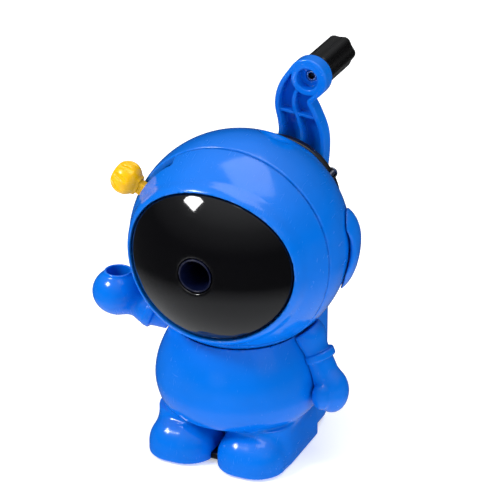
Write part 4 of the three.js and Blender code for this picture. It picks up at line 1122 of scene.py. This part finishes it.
def sky():
    """Soft room light: dim round the horizon, bright overhead and, for reflections only, underneath."""
    world = bpy.data.worlds.new("studio")
    world.use_nodes = True
    tree = world.node_tree
    background = tree.nodes["Background"]
    background.inputs["Strength"].default_value = 0.62
    place = tree.nodes.new("ShaderNodeTexCoord")
    split = tree.nodes.new("ShaderNodeSeparateXYZ")
    level = tree.nodes.new("ShaderNodeMapRange")
    level.inputs["From Min"].default_value = -1
    ramp = tree.nodes.new("ShaderNodeValToRGB")
    bands = [(0.0, 1.0), (0.14, 0.8), (0.26, 0.05), (0.55, 0.03), (0.74, 0.3), (0.93, 1.0)]
    stops = ramp.color_ramp.elements
    while len(stops) < len(bands):
        stops.new(0.5)
    for stop, (at, bright) in zip(stops, bands):
        stop.position = at
        stop.color = (0.95 * bright, 0.97 * bright, bright, 1)
    tree.links.new(place.outputs["Generated"], split.inputs["Vector"])
    tree.links.new(split.outputs["Z"], level.inputs["Value"])
    tree.links.new(level.outputs["Result"], ramp.inputs["Fac"])
    tree.links.new(ramp.outputs["Color"], background.inputs["Color"])
    return world


def studio():
    scene = bpy.context.scene
    floor_mesh = bpy.data.meshes.new("floor")
    reach = 6.0
    corners = [(-reach, -reach, 0), (reach, -reach, 0), (reach, reach, 0), (-reach, reach, 0)]
    floor_mesh.from_pydata(corners, [], [[0, 1, 2, 3]])
    floor = bpy.data.objects.new("floor", floor_mesh)
    scene.collection.objects.link(floor)
    n = Nodes("pale_floor")
    drift = n.ramp(n.noise(3, 2), 0.3, 0.7)
    n.link(n.mix(drift, srgb("#f9f9fa"), srgb("#fbfbfc")), n.shader.inputs["Base Color"])
    n.set(Roughness=0.9, Specular_IOR_Level=0.1, Emission_Strength=0.42)
    floor_mesh.materials.append(n.material)
    floor.visible_glossy = False
    scene.world = sky()
    lamps = [
        ("key", (-0.55, -0.45, 0.75), 0.3, 5.6, True),
        ("fill", (0.75, -0.35, 0.45), 0.45, 2.3, False),
        ("top", (0.1, 0.1, 0.95), 0.8, 3.0, True),
        ("front", (-0.1, -0.9, 0.25), 0.35, 1.3, False),
    ]
    for name, place, size, power, shows in lamps:
        light = bpy.data.lights.new(name, "AREA")
        light.shape = "RECTANGLE"
        light.size = size
        light.size_y = size * 0.7
        light.energy = power
        lamp = bpy.data.objects.new(name, light)
        scene.collection.objects.link(lamp)
        lamp.visible_glossy = shows
        lamp.location = place
        lamp.rotation_euler = (Vector((0, 0, 0.06)) - Vector(place)).to_track_quat("-Z", "Y").to_euler()


def camera():
    scene = bpy.context.scene
    lens = bpy.data.cameras.new("camera")
    lens.sensor_width = 36
    lens.lens = 188
    lens.clip_start = 0.01
    obj = bpy.data.objects.new("camera", lens)
    scene.collection.objects.link(obj)
    obj.location = TARGET + BACK.normalized() * 0.9
    obj.rotation_euler = (-BACK).to_track_quat("-Z", "Y").to_euler()
    scene.camera = obj


studio()
camera()
bpy.context.scene.view_settings.view_transform = "Standard"
